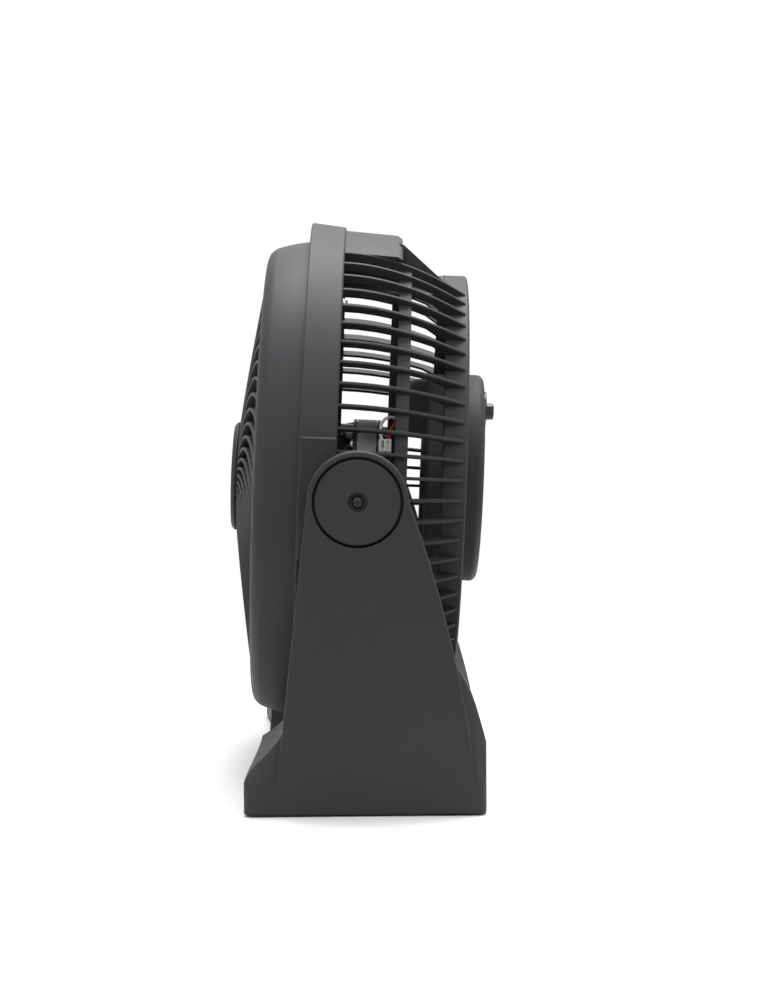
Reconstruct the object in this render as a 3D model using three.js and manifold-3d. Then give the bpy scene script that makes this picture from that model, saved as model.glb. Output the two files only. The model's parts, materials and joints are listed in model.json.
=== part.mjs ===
// A 12-inch table air circulator: a round fan head that tilts between the arms of a U-shaped stand.
// Millimetres. +Z is up, the air leaves towards -Y, and the origin is on the floor under the middle.
// The head is drawn in its own frame: its origin is the pivot, and its fan axis runs along Y.
import * as THREE from 'three';
import { mergeVertices } from 'three/addons/utils/BufferGeometryUtils.js';
import Module from 'manifold-3d';

const wasm = await Module();
wasm.setup();
const { Manifold, Mesh: SolidMesh } = wasm;

// ---------------------------------------------------------------- driving dimensions

const gap = 0.3; // clearance between pieces that seat on each other
const wall = 3; // usual wall of the large mouldings
const restTilt = 2.6; // degrees that the air stream points above level at rest
const pivotForward = 3.2; // pivot axis in front of the middle of the whole fan

const band = { radius: 183, rearRadius: 180.6, front: -39.2, rear: -14.9 };
const trench = 13.5; // from the outside of the band to the outside of the front ring

const fins = { count: 72, inset: 4.6, drop: 29, curve: 1.9, end: 70, thickness: 2.2, depth: 6.5 };
const midRing = { front: 22.7, rear: 31.5, wall: 5, lap: 0.7 };
const rearRing = { front: 55, rear: 71.6, wall: 4, flange: 14.4, flangeWall: 5 };
const rearRibs = { count: 48, thickness: 2, depth: 4.2 };
const dish = { radius: 73.5, rise: 5, front: 46, wall: 2.5, bossRear: 66.5 };
const switchBox = { halfWidth: 25, below: 19.3, above: 20.7, front: 34, corner: 7 }; // from the knob's axis

const handle = { halfAngle: 25, plateWall: 5, plateRear: 25, floorWall: 2.9, sideX: 46, sideWall: 3 };
const pivot = { bossRadius: 13, padHeight: 40, padRadius: 24, padFace: 0.8 };
const pivotScrew = { headRadius: 4, headHeight: 2.4, shankRadius: 1.9, length: 16 };

const ring = { wall: 3, lip: -69.6, opening: 147 };
const swirl = { count: 60, thickness: 2.2, hubThickness: 1.5, depth: 5.5, rise: 20.3, curve: 1.25, lean: 42 };
const grilleHub = { radius: 38.6, front: -86, depth: 6.5, wall: 2.5 };
const badge = { thickness: 4.5, edge: 2.5 };

const motor = { radius: 44, front: -14, rear: 19.4, stackFront: -1.7, stackRear: 12, bellRadius: 35 };
const bellWall = 2.5;
const rotorRadius = 17.3;
const airGap = 0.6;
const winding = { inner: 20.2, outer: 30.8, barWidth: 10.4 };
const shaft = { radius: 4, front: -64 };
const bearing = { radius: 8, length: 5.8 };
const motorBolts = { circle: 39.5, headRadius: 3.3, headHeight: 2.2, shankRadius: 1.7 };
const bracket = { wall: 2.7, armWidth: 14, webWall: 3.5, webRear: 30, postRadius: 3.9 };

const wheel = { hubRadius: 36, front: -58, rear: -19, bossRadius: 9, blades: 5, firstBlade: 11, tipGap: 10.5 };
const blade = { rootChord: 44, tipChord: 88, rootPitch: 52, tipPitch: 24, camber: 4, thickness: 2 };
const spinner = { radius: 9, front: -68 };
const drivePin = { radius: 1.4, length: 15, y: -24 };

const cover = { lap: 0.5, rear: 87, wall: 2.5, corner: 6, ventRear: 75.5 }; // lap: outside the dish
const coverScrews = {
  edge: 12, sink: 5, grip: 8, postRadius: 5, headRadius: 3.4, headHeight: 2.2, shankRadius: 1.6,
};
const knob = { edge: 25.7, skirtRadius: 14, rear: 95.2, gripWidth: 12, gripLength: 26, skirtWall: 2.4 };
const switchShaftRadius = 3;
const inlet = { edge: 31, radius: 8.5, bore: 3.4, proud: 2.6 };
const capacitor = { x: 34, y: 13, z: 24, centre: [-30, -8] };
const connector = { angle: 33, length: 9, width: 10, depth: 9 };

const stand = {
  web: 15, // floor to the lowest point of the cradle
  armGap: 1.8, // band to arm
  armWall: 12.7,
  cradleGap: 1.8, // the corner of the band to the cradle as the head turns
  armTop: 33, // radius of the arm's round top
  footFront: -75.3,
  footRear: 82.1,
  rearBow: 5.4, // the rear edge bows out this far in the middle
  frontBow: 8.8, // the front edge sets back this far in the middle
  toe: 21.5, // height of the foot's outer edge
  solidAbove: 39, // the arm is solid from this far below the pivot
  rim: 1, // underside of the moulding above the floor
};
const capSeat = { radius: 29.3, depth: 6.5, capRadius: 27.75, proud: -0.2, screwSink: 3.6, screwRecess: 6.35 };
const rubberFoot = { radius: 8, height: 3.3, inset: 13.5 };
const washerWall = 2;

// ---------------------------------------------------------------- sizes that follow

const frontRingRadius = band.radius - trench;
const finOuter = band.radius - fins.inset;
const rearRingRadius = finOuter - fins.drop;
const bladeTip = frontRingRadius - ring.wall - wheel.tipGap - 5;
const armInner = band.radius + stand.armGap;
const halfWidth = armInner + stand.armWall;
const cradle = Math.hypot(band.radius, band.front) + stand.cradleGap;
const pivotHeight = cradle + stand.web;
const padX = band.radius - pivot.padFace;
const capSeatX = halfWidth - capSeat.depth;
const plateFront = motor.rear + gap;
const plateRear = plateFront + bracket.wall;
const coverRadius = dish.radius + cover.lap;
const knobZ = dish.rise + coverRadius - knob.edge;
const inletZ = dish.rise - coverRadius + inlet.edge;
const switchBottom = knobZ - switchBox.below;
const grilleScrews = { angles: [47.5, 132.5, 227.5, 312.5], circle: frontRingRadius + 2.8 };

// ---------------------------------------------------------------- shape helpers

const rad = THREE.MathUtils.degToRad;
const steps = (count) => Array.from({ length: count }, (_, i) => i);

/** A closed solid from any closed geometry: shared corners merged, faces pointing out. */
function solid(geometry) {
  const bare = new THREE.BufferGeometry();
  const loose = geometry.index ? geometry.toNonIndexed() : geometry;
  bare.setAttribute('position', loose.attributes.position);
  const merged = mergeVertices(bare, 1e-4);
  const points = merged.attributes.position.array;
  const corners = merged.index.array;
  const faces = [];
  let volume = 0;
  const at = (i) => new THREE.Vector3().fromArray(points, 3 * i);
  for (let i = 0; i < corners.length; i += 3) {
    const [a, b, c] = [corners[i], corners[i + 1], corners[i + 2]];
    if (a === b || b === c || c === a) continue;
    faces.push([a, b, c]);
    volume += at(a).dot(at(b).cross(at(c)));
  }
  const outward = volume < 0 ? faces.map(([a, b, c]) => [a, c, b]) : faces;
  return new Manifold(new SolidMesh({
    numProp: 3,
    vertProperties: new Float32Array(points),
    triVerts: new Uint32Array(outward.flat()),
  }));
}

const join = (...solids) => Manifold.union(solids.flat());
const cut = (body, ...tools) => body.subtract(join(...tools));
const common = (a, b) => a.intersect(b);

/** Points [radius, y] turned about the Y axis; the first corner of the turning is at a given angle. */
function turn(points, segments = 36, move = [0, 0, 0], startAngle = 0) {
  const profile = points.map(([r, y]) => new THREE.Vector2(r, y));
  const start = Math.PI / 2 - rad(startAngle);
  return solid(new THREE.LatheGeometry(profile, segments, start).translate(...move));
}

/** A tube wall: turned between two radii and two depths. */
function sleeve(inner, outer, from, to, segments = 36, move = [0, 0, 0]) {
  return turn([[inner, from], [outer, from], [outer, to], [inner, to], [inner, from]], segments, move);
}

/** A plain rod along Y. */
function rod(radius, from, to, segments = 20, move = [0, 0, 0]) {
  return turn([[0, from], [radius, from], [radius, to], [0, to]], segments, move);
}

const outline = (points) => new THREE.Shape(points.map(([a, b]) => new THREE.Vector2(a, b)));

function extrude(shape, depth, curveSegments = 8) {
  return new THREE.ExtrudeGeometry(shape, { depth, bevelEnabled: false, curveSegments });
}

/** A shape drawn in (y, z), extruded along X. */
function alongX(shape, from, to, curveSegments) {
  const axes = new THREE.Matrix4().makeBasis(
    new THREE.Vector3(0, 1, 0), new THREE.Vector3(0, 0, 1), new THREE.Vector3(1, 0, 0));
  return solid(extrude(shape, to - from, curveSegments).applyMatrix4(axes).translate(from, 0, 0));
}

/** A shape drawn in (x, z), extruded along Y. */
function alongY(shape, from, to, curveSegments) {
  return solid(extrude(shape, to - from, curveSegments).rotateX(Math.PI / 2).translate(0, to, 0));
}

function box(x, y, z) {
  const geometry = new THREE.BoxGeometry(x[1] - x[0], y[1] - y[0], z[1] - z[0]);
  return solid(geometry.translate((x[0] + x[1]) / 2, (y[0] + y[1]) / 2, (z[0] + z[1]) / 2));
}

/** A block whose x is radial, at an angle about the fan axis counted from +X towards +Z. */
function radialBlock(radial, y, width, angle) {
  const geometry = new THREE.BoxGeometry(radial[1] - radial[0], y[1] - y[0], width);
  geometry.translate((radial[0] + radial[1]) / 2, (y[0] + y[1]) / 2, 0);
  return solid(geometry.rotateY(-rad(angle)));
}

/** Part of a ring's cross section in (x, z), between two radii and two angles. */
function sector(inner, outer, from, to, move = [0, 0]) {
  const shape = new THREE.Shape();
  shape.absarc(move[0], move[1], outer, rad(from), rad(to), false);
  shape.absarc(move[0], move[1], inner, rad(to), rad(from), true);
  return shape;
}

/** Closed skin over a list of rings that have the same number of points. */
function loft(rings) {
  const size = rings[0].length;
  const positions = [];
  const push = (...points) => points.forEach((p) => positions.push(p.x, p.y, p.z));
  for (let k = 0; k + 1 < rings.length; k += 1) {
    for (let i = 0; i < size; i += 1) {
      const j = (i + 1) % size;
      push(rings[k][i], rings[k][j], rings[k + 1][j]);
      push(rings[k][i], rings[k + 1][j], rings[k + 1][i]);
    }
  }
  const last = rings[rings.length - 1];
  for (let i = 1; i + 1 < size; i += 1) {
    push(rings[0][0], rings[0][i + 1], rings[0][i]);
    push(last[0], last[i], last[i + 1]);
  }
  const geometry = new THREE.BufferGeometry();
  geometry.setAttribute('position', new THREE.Float32BufferAttribute(positions, 3));
  return solid(geometry);
}

const onCircle = (radius, angle) => [radius * Math.cos(rad(angle)), 0, radius * Math.sin(rad(angle))];

/** A screw along Y: its head is at negative y and the face under its head at y = 0. */
function screw({ headRadius, headHeight, shankRadius }, length, segments = 6) {
  return turn([[0, -headHeight], [headRadius, -0.45 * headHeight], [headRadius, 0], [shankRadius, 0],
    [shankRadius, length], [0, length]], segments);
}

function crossRecess({ headRadius, headHeight }) {
  const reach = 0.55 * headRadius;
  const half = 0.13 * headRadius;
  const y = [-headHeight - 1, -0.45 * headHeight];
  return join(box([-reach, reach], y, [-half, half]), box([-half, half], y, [-reach, reach]));
}

// ---------------------------------------------------------------- rear guard

/** Radius of the outer edge of a cage fin at depth y. */
function finRadius(y) {
  const along = Math.max(0, (y - band.rear) / (fins.end - band.rear));
  return finOuter - fins.drop * along ** fins.curve;
}

/** Radius of the inner edge of a fin at depth y, in front of the middle ring. */
function finInner(y) {
  return finRadius(y) - fins.depth;
}

const midRingOuter = finInner(midRing.front) + midRing.lap;
const midRingInner = midRingOuter - midRing.wall;
const pocketFloor = rearRingRadius - 0.5;
const underFloor = pocketFloor - handle.floorWall;

/** The bracket's four seats: the top one hangs under the hand hold, the others are on the ring. */
const bracketSeats = [0, 90, 180, 270].map((angle) => (
  { angle, radius: angle === 90 ? underFloor - 4.5 : midRingInner - 1 }));

function bracketPilot({ angle, radius }) {
  return rod(1.7, midRing.front - 1, midRing.rear - 1.5, 8, onCircle(radius, angle));
}

function fin(angle) {
  const start = band.rear - 1.5;
  const seat = rearRingRadius - rearRing.wall / 2;
  const stations = [start, 22, 50, fins.end - 1];
  const outer = stations.map((y) => [finRadius(y), y]);
  const inner = [[seat, fins.end - 1], [seat, rearRing.front + 1], [finInner(midRing.front), midRing.front],
    [finInner(start), start]];
  const blank = extrude(outline([...outer, ...inner]), fins.thickness).translate(0, 0, -fins.thickness / 2);
  return solid(blank.rotateY(-rad(angle)));
}

function bandAndRings() {
  const rim = turn([[band.radius, band.front], [band.rearRadius, band.rear],
    [frontRingRadius - ring.wall - 0.5, band.rear], [frontRingRadius - ring.wall - 0.5, band.rear - wall],
    [band.rearRadius - wall, band.rear - wall], [band.radius - wall, band.front],
    [band.radius, band.front]], 72, [0, 0, 0], 2.5);
  const back = turn([[rearRingRadius, rearRing.front], [rearRingRadius, rearRing.rear],
    [rearRingRadius - rearRing.flange, rearRing.rear],
    [rearRingRadius - rearRing.flange, rearRing.rear - rearRing.flangeWall],
    [rearRingRadius - rearRing.wall, rearRing.rear - rearRing.flangeWall],
    [rearRingRadius - rearRing.wall, rearRing.front], [rearRingRadius, rearRing.front]], 60, [0, 0, 0], 3);
  const middle = alongY(sector(midRingInner, midRingOuter, 90 + handle.halfAngle, 450 - handle.halfAngle),
    midRing.front, midRing.rear, 18);
  return [rim, back, middle];
}

/** Hand hold in the top of the cage: a bridge, its floor, two side walls and a front wall. */
function handHoldWalls() {
  const from = 90 - handle.halfAngle;
  const to = 90 + handle.halfAngle;
  const start = band.rear - 1.5;
  const bridge = alongY(sector(finOuter - handle.plateWall, finOuter, from, to), start, handle.plateRear, 3);
  const floor = alongY(sector(underFloor, pocketFloor, from, to), start, rearRing.front + 1, 4);
  const front = alongY(sector(underFloor, frontRingRadius - ring.wall, from, to), band.rear - wall, band.rear, 4);
  const mid = handle.sideX + handle.sideWall / 2;
  const low = Math.sqrt((pocketFloor - handle.floorWall / 2) ** 2 - mid ** 2);
  const high = Math.sqrt((finOuter - handle.plateWall / 2) ** 2 - mid ** 2);
  const side = outline([[start, low], [start, high], [handle.plateRear, high],
    [rearRing.front + 1, low + 3.5], [rearRing.front + 1, low]]);
  const walls = [1, -1].map((s) => {
    const edges = [s * handle.sideX, s * (handle.sideX + handle.sideWall)].sort((a, b) => a - b);
    return alongX(side, edges[0], edges[1]);
  });
  const lug = box([-5, 5], [midRing.front, midRing.rear], [underFloor - 9, underFloor + 1]);
  return [bridge, floor, front, lug, ...walls];
}

/** Thick pads at the two sides of the band, with the bosses that the arms hold. */
function pivotPads() {
  return [1, -1].map((s) => {
    const along = (from, to) => [s * from, s * to].sort((a, b) => a - b);
    const turned = (radius, from, to) => {
      const disc = new THREE.CylinderGeometry(radius, radius, to - from, 22).rotateZ(Math.PI / 2);
      return solid(disc.translate((s * (from + to)) / 2, 0, 0));
    };
    const block = box(along(frontRingRadius + 2.5, padX), [band.front + 1, band.rear],
      [-pivot.padHeight, pivot.padHeight]);
    const round = common(turned(pivot.padRadius, finOuter - 12, padX),
      box(along(0, padX + 1), [band.rear - 1, 60], [-60, 60]));
    return join(block, round, turned(pivot.bossRadius, padX - 5, capSeatX));
  });
}

function switchBoxShape(inset) {
  const { above, front, corner } = switchBox;
  const r = corner - inset;
  const [y0, z0, z1, y1] = [front + inset, switchBottom + inset, knobZ + above - inset, dish.front + dish.wall];
  const shape = new THREE.Shape();
  shape.moveTo(y1, z1);
  shape.lineTo(y1, z0);
  shape.absarc(y0 + r, z0 + r, r, -Math.PI / 2, -Math.PI, true);
  shape.absarc(y0 + r, z1 - r, r, Math.PI, Math.PI / 2, true);
  return shape;
}

function rearDish() {
  const move = [0, 0, dish.rise];
  const pan = turn([[0, dish.front], [dish.radius, dish.front], [dish.radius, rearRing.rear],
    [dish.radius - dish.wall, rearRing.rear], [dish.radius - dish.wall, dish.front + dish.wall],
    [0, dish.front + dish.wall]], 30, move);
  const shell = alongX(switchBoxShape(0), -switchBox.halfWidth, switchBox.halfWidth, 3);
  const bosses = coverScrewPlaces().map((p) => rod(coverScrews.postRadius - 0.5, dish.front + 1,
    dish.bossRear, 12, p));
  return [pan, shell, ...bosses];
}

function coverScrewPlaces() {
  return [30, 150, 270].map((angle) => {
    const [x, , z] = onCircle(coverRadius - coverScrews.edge, angle);
    return [x, 0, z + dish.rise];
  });
}

/** Where a ray from the fan axis leaves a circle round the middle of the dish. */
function dishReach(radius, angle) {
  const rise = dish.rise * Math.sin(rad(angle));
  return rise + Math.sqrt(radius ** 2 - dish.rise ** 2 + rise ** 2);
}

/** The guard all round but for its hand hold. */
function cageBody() {
  const pitch = 360 / fins.count;
  const outsideHandle = (angle) => Math.abs(angle - 90) > handle.halfAngle - pitch / 2;
  const cage = steps(fins.count).map((i) => i * pitch).filter(outsideHandle).map(fin);
  const ribEnd = rearRingRadius - rearRing.flange + 1.5;
  const ribs = steps(rearRibs.count).map((i) => (i * 360) / rearRibs.count).map((angle) => radialBlock(
    [dishReach(dish.radius - 1.2, angle), ribEnd],
    [rearRing.rear - 0.4 - rearRibs.depth, rearRing.rear - 0.4], rearRibs.thickness, angle));
  const seats = bracketSeats.filter(({ angle }) => angle !== 90).map(({ angle, radius }) => rod(
    4, midRing.front, midRing.rear, 12, onCircle(radius, angle)));
  const body = join(...bandAndRings(), ...cage, ...ribs, ...pivotPads(), ...rearDish(), ...seats);

  const boxVoid = alongX(switchBoxShape(dish.wall), dish.wall - switchBox.halfWidth,
    switchBox.halfWidth - dish.wall, 3);
  const leadHole = rod(4, switchBox.front - 1, switchBox.front + dish.wall + 1, 10, [14, 0, switchBottom + 10]);
  const holes = [
    ...grilleScrews.angles.map((a) => rod(1.9, band.rear - wall - 1, band.rear + 1, 8,
      onCircle(grilleScrews.circle, a))),
    ...bracketSeats.map(bracketPilot),
    ...coverScrewPlaces().map((p) => rod(coverScrews.shankRadius + gap, dish.bossRear - coverScrews.grip - 1,
      dish.bossRear + 1, 8, p)),
    ...[1, -1].map((s) => {
      const bore = new THREE.CylinderGeometry(2.2, 2.2, 22, 10).rotateZ(Math.PI / 2);
      return solid(bore.translate(s * (capSeatX + 1 - 11), 0, 0));
    }),
  ];
  return cut(body, boxVoid, leadHole, ...holes);
}

/** The guard's moulding in two solids, the cage and its hand hold, that meet face to face. */
function rearGuard() {
  const cage = cageBody();
  return { cage, hold: cut(join(...handHoldWalls()), cage, ...bracketSeats.map(bracketPilot)) };
}

// ---------------------------------------------------------------- front grille

/** Front face of the grille's ribs at a radius. */
function grilleDome(r) {
  return ring.lip + 0.4 - swirl.rise * (1 - Math.min(1, r / ring.opening) ** swirl.curve);
}

/** How far a grille rib has turned, in radians, from the hub out to a radius. */
function swirlTurn(r) {
  const inner = grilleHub.radius - 1;
  const count = 24;
  const step = (r - inner) / count;
  const rate = (s) => Math.tan(rad((swirl.lean * (s - inner)) / (ring.opening - inner))) / s;
  return steps(count).reduce((sum, i) => sum + rate(inner + (i + 0.5) * step) * step, 0);
}

function grilleRib(angle) {
  const inner = grilleHub.radius - 1;
  const outer = ring.opening + 3;
  const count = 4;
  const at = (r) => {
    const a = rad(angle) - swirlTurn(r);
    return new THREE.Vector2(r * Math.cos(a), r * Math.sin(a));
  };
  const rings = steps(count).map((i) => {
    const share = i / (count - 1);
    const r = inner + (outer - inner) * share;
    const half = (swirl.hubThickness + (swirl.thickness - swirl.hubThickness) * share) / 2;
    const side = at(r + 0.5).sub(at(r - 0.5)).normalize();
    const [nx, nz] = [-side.y * half, side.x * half];
    const p = at(r);
    const front = grilleDome(r);
    const back = front + (i + 1 < count ? swirl.depth : ring.wall - 0.9);
    const corner = (s, y) => new THREE.Vector3(p.x + s * nx, y, p.y + s * nz);
    return [corner(1, front), corner(-1, front), corner(-1, back), corner(1, back)];
  });
  return loft(rings);
}

function frontGrille() {
  const r = frontRingRadius;
  const seat = band.rear - wall - gap;
  const { lip, opening, wall: w } = ring;
  const ribEnd = THREE.MathUtils.radToDeg(swirlTurn(opening + 3));
  const shell = turn([[r, seat], [r, band.front], [r - 2, lip + 19.6], [r - 5, lip + 9.6],
    [r - 9, lip + 3.1], [r - 16.5, lip + 0.2], [opening, lip], [opening, lip + w],
    [r - 10, lip + 7], [r - w, seat], [r, seat]],
  swirl.count, [0, 0, 0], 180 / swirl.count - ribEnd);
  const g = grilleHub;
  const hub = turn([[0, g.front], [g.radius, g.front], [g.radius, g.front + g.depth],
    [g.radius - g.wall, g.front + g.depth], [g.radius - g.wall, g.front + g.wall], [0, g.front + g.wall]], 30);
  const ribs = steps(swirl.count).map((i) => grilleRib((i * 360) / swirl.count));
  const bosses = grilleScrews.angles.map((a) => rod(4, seat - 16, seat, 12, onCircle(grilleScrews.circle, a)));
  const pilots = grilleScrews.angles.map((a) => rod(1.9, seat - 11, seat + 1, 8,
    onCircle(grilleScrews.circle, a)));
  return cut(join(shell, hub, ...ribs, ...bosses), ...pilots);
}

function frontBadge() {
  const rear = grilleHub.front - gap;
  const front = rear - badge.thickness;
  const r = grilleHub.radius;
  return turn([[0, front], [r * 0.6, front + 0.4], [r - badge.edge, front + 1.2], [r, front + badge.edge + 0.7],
    [r, rear], [0, rear]], 30);
}

// ---------------------------------------------------------------- motor

const boltAngles = [45, 135, 225, 315];

/** A motor end bell with a flange against the stack; end is the outer face, seat the stack's face. */
function endBell(end, seat) {
  const s = Math.sign(seat - end);
  const face = seat - s * gap;
  const shell = turn([[bearing.radius + gap, end], [motor.bellRadius, end], [motor.bellRadius, face - s * bellWall],
    [motor.radius, face - s * bellWall], [motor.radius, face], [motor.bellRadius - bellWall, face],
    [motor.bellRadius - bellWall, end + s * bellWall], [bearing.radius + gap, end + s * bellWall],
    [bearing.radius + gap, end]], 20);
  const [low, high] = [Math.min(face, face - s * bellWall) - 1, Math.max(face, face - s * bellWall) + 1];
  const holes = boltAngles.map((a) => rod(motorBolts.shankRadius + gap, low, high, 8,
    onCircle(motorBolts.circle, a)));
  return cut(shell, ...holes);
}

function stator() {
  const { stackFront: a, stackRear: b } = motor;
  const stack = sleeve(rotorRadius + airGap, motor.radius, a, b, 20);
  const slots = [0, 90, 180, 270].map((angle) => radialBlock([winding.inner - gap, winding.outer + gap],
    [a - 1, b + 1], winding.barWidth + 2 * gap, angle));
  const holes = boltAngles.map((angle) => rod(motorBolts.shankRadius + gap, a - 1, b + 1, 8,
    onCircle(motorBolts.circle, angle)));
  return cut(stack, ...slots, ...holes);
}

/** The four coils as one wound body: an end ring at each face of the stack and a bar in each slot. */
function windings() {
  const { stackFront: a, stackRear: b, front, rear } = motor;
  const ends = [sleeve(winding.inner, winding.outer, front + bellWall + 1.5, a - gap, 16),
    sleeve(winding.inner, winding.outer, b + gap, rear - bellWall - 0.5, 16)];
  const bars = [0, 90, 180, 270].map((angle) => radialBlock([winding.inner + 0.3, winding.outer - 0.3],
    [a - 1, b + 1], winding.barWidth, angle));
  return join(...ends, ...bars);
}

function motorBracket() {
  const hub = sleeve(bearing.radius + 1.5, motorBolts.circle + bracket.postRadius, plateFront, plateRear, 20);
  const flangeFace = motor.stackRear + gap + bellWall;
  const posts = boltAngles.map((a) => rod(bracket.postRadius, flangeFace + gap, plateFront + 1, 10,
    onCircle(motorBolts.circle, a)));
  const arms = bracketSeats.map(({ angle, radius }) => {
    const end = radius + (angle === 90 ? 4 : 4.5);
    const plate = radialBlock([30, end], [plateFront, plateRear], bracket.armWidth, angle);
    const web = radialBlock([bearing.radius + 4, radius - 6], [plateRear - 0.5, bracket.webRear],
      bracket.webWall, angle);
    return join(plate, web);
  });
  const holes = [
    ...boltAngles.map((a) => rod(motorBolts.shankRadius + gap, flangeFace, plateRear + 1, 8,
      onCircle(motorBolts.circle, a))),
    ...bracketSeats.map(({ angle, radius }) => rod(1.7, plateFront - 1, plateRear + 1, 8,
      onCircle(radius, angle))),
  ];
  return cut(join(hub, ...posts, ...arms), ...holes);
}

// ---------------------------------------------------------------- fan wheel

/** One blade: a cambered plate wrapped round the fan axis, wider and flatter towards its tip. */
function fanBlade(angle) {
  const mid = (wheel.front + wheel.rear) / 2;
  const shares = [-0.5, -0.17, 0.17, 0.5];
  const stations = [0, 0.33, 0.67, 1];
  const rings = stations.map((share) => {
    const r = wheel.hubRadius - 1.5 + share * (bladeTip - wheel.hubRadius + 1.5);
    const pitch = rad(blade.rootPitch + (blade.tipPitch - blade.rootPitch) * share);
    const chord = blade.rootChord + (blade.tipChord - blade.rootChord) * share;
    const half = blade.thickness / 2 / Math.cos(pitch);
    const point = (s, side) => {
      const a = rad(angle) + 0.35 * share + (s * chord * Math.cos(pitch)) / r;
      const y = mid + s * chord * Math.sin(pitch) - blade.camber * (1 - (2 * s) ** 2) + side * half;
      return new THREE.Vector3(r * Math.cos(a), y, r * Math.sin(a));
    };
    return [...shares.map((s) => point(s, -1)), ...shares.toReversed().map((s) => point(s, 1))];
  });
  return loft(rings);
}

function fanWheel() {
  const { hubRadius: r, front, rear, bossRadius } = wheel;
  const hub = turn([[0, front], [r - 8, front], [r - 2, front + 3], [r, front + 9], [r, rear], [r - wall, rear],
    [r - wall, front + 10], [r - 9, front + wall], [bossRadius, front + wall], [bossRadius, rear - 3],
    [0, rear - 3]], 24);
  const blades = steps(wheel.blades).map((i) => fanBlade(wheel.firstBlade + (i * 360) / wheel.blades));
  const bore = rod(shaft.radius + gap, front - 1, rear + 1, 16);
  const slot = box([-drivePin.length / 2 - gap, drivePin.length / 2 + gap],
    [drivePin.y - drivePin.radius - gap, rear], [-drivePin.radius - gap, drivePin.radius + gap]);
  return cut(join(hub, ...blades), bore, slot);
}

function motorShaft() {
  const cross = new THREE.CylinderGeometry(drivePin.radius + gap, drivePin.radius + gap, 12, 10);
  cross.rotateZ(Math.PI / 2).translate(0, drivePin.y, 0);
  return cut(rod(shaft.radius, shaft.front, motor.rear - 0.5, 16), solid(cross));
}

function bladeNut() {
  const rear = wheel.front - gap;
  return turn([[0, spinner.front], [spinner.radius * 0.7, spinner.front + 0.8],
    [spinner.radius, spinner.front + 4], [spinner.radius, rear], [shaft.radius + gap, rear],
    [shaft.radius + gap, shaft.front - gap], [0, shaft.front - gap]], 18);
}

// ---------------------------------------------------------------- rear cover and controls

function rearCover() {
  const move = [0, 0, dish.rise];
  const { rear, wall: w, corner: c } = cover;
  const r = coverRadius;
  const lip = rearRing.rear + gap;
  const shell = turn([[r, lip], [r, rear - c], [r - 0.3 * c, rear - 0.3 * c], [r - c, rear], [0, rear],
    [0, rear - w], [r - c, rear - w], [r - w, rear - c], [r - w, lip], [r, lip]], 36, move);
  const posts = coverScrewPlaces().map((p) => rod(coverScrews.postRadius, dish.bossRear + gap,
    rear - w + 0.5, 12, p));
  const vent = common(sleeve(r - w - 1, r + 1, cover.ventRear - 3.2, cover.ventRear, 36, move),
    box([-60, 60], [0, 100], [-100, dish.rise - 30]));
  const holes = [
    ...coverScrewPlaces().flatMap((p) => [
      rod(coverScrews.shankRadius + gap, dish.bossRear, rear + 1, 8, p),
      rod(coverScrews.headRadius + gap, rear - coverScrews.sink, rear + 1, 12, p)]),
    rod(5.1, rear - w - 1, rear + 1, 16, [0, 0, knobZ]),
    rod(inlet.radius - 1.5 + gap, rear - w - 1, rear + 1, 16, [0, 0, inletZ]),
  ];
  return cut(join(shell, ...posts), vent, ...holes);
}

/** Rotary switch: its body hangs behind the cover on the threaded bush that the nut holds. */
function rotarySwitch() {
  const inside = cover.rear - cover.wall;
  const body = box([-14, 14], [inside - 22, inside - 2.5], [knobZ - 12, knobZ + 12]);
  const at = [0, 0, knobZ];
  const bush = join(rod(7, inside - 3, inside - gap, 16, at), rod(4.8, inside - 1, cover.rear + 1.2, 16, at));
  return cut(join(body, bush), rod(switchShaftRadius + gap, inside - 18, cover.rear + 2, 12, at));
}

function speedKnob() {
  const seat = cover.rear + gap;
  const { skirtRadius: r, skirtWall: w, rear, gripWidth, gripLength } = knob;
  const skirt = turn([[0, seat], [r, seat], [r, seat + w - 1], [r - 1, seat + w], [0, seat + w]], 32);
  const half = gripWidth / 2;
  const gripShape = outline([[-half, seat + 0.5], [half, seat + 0.5], [half - 0.8, rear - 1.6],
    [half - 2.4, rear], [2.4 - half, rear], [0.8 - half, rear - 1.6]]);
  const grip = solid(extrude(gripShape, gripLength).translate(0, 0, -gripLength / 2).rotateY(Math.PI / 2));
  const blank = join(skirt, common(grip, turn([[0, seat], [r - 1, seat], [r - 1.6, rear], [0, rear]], 32)));
  return cut(blank, rod(8, seat - 1, seat + 1.6, 16), rod(switchShaftRadius + gap, seat, rear - 1.5, 12));
}

/** Bush in the cover where the mains lead enters; the lead itself is left out. */
function cordInlet() {
  const { rear, wall: w } = cover;
  const { radius: r, bore, proud } = inlet;
  return turn([[bore, rear - w - 5], [r - 1.5, rear - w - 5], [r - 1.5, rear + gap], [r, rear + gap],
    [r, rear + proud - 0.8], [r - 1.2, rear + proud], [bore, rear + proud],
    [bore, rear - w - 5]], 18);
}

/** A lead held between two places, as a six-sided tube along a smooth line. */
function lead(points, radius) {
  const path = new THREE.CatmullRomCurve3(points.map((p) => new THREE.Vector3(...p)));
  const section = outline(steps(6).map((i) => [radius * Math.cos(rad(60 * i)), radius * Math.sin(rad(60 * i))]));
  return solid(new THREE.ExtrudeGeometry(section, { steps: 10, extrudePath: path, bevelEnabled: false }));
}

// ---------------------------------------------------------------- stand

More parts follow.
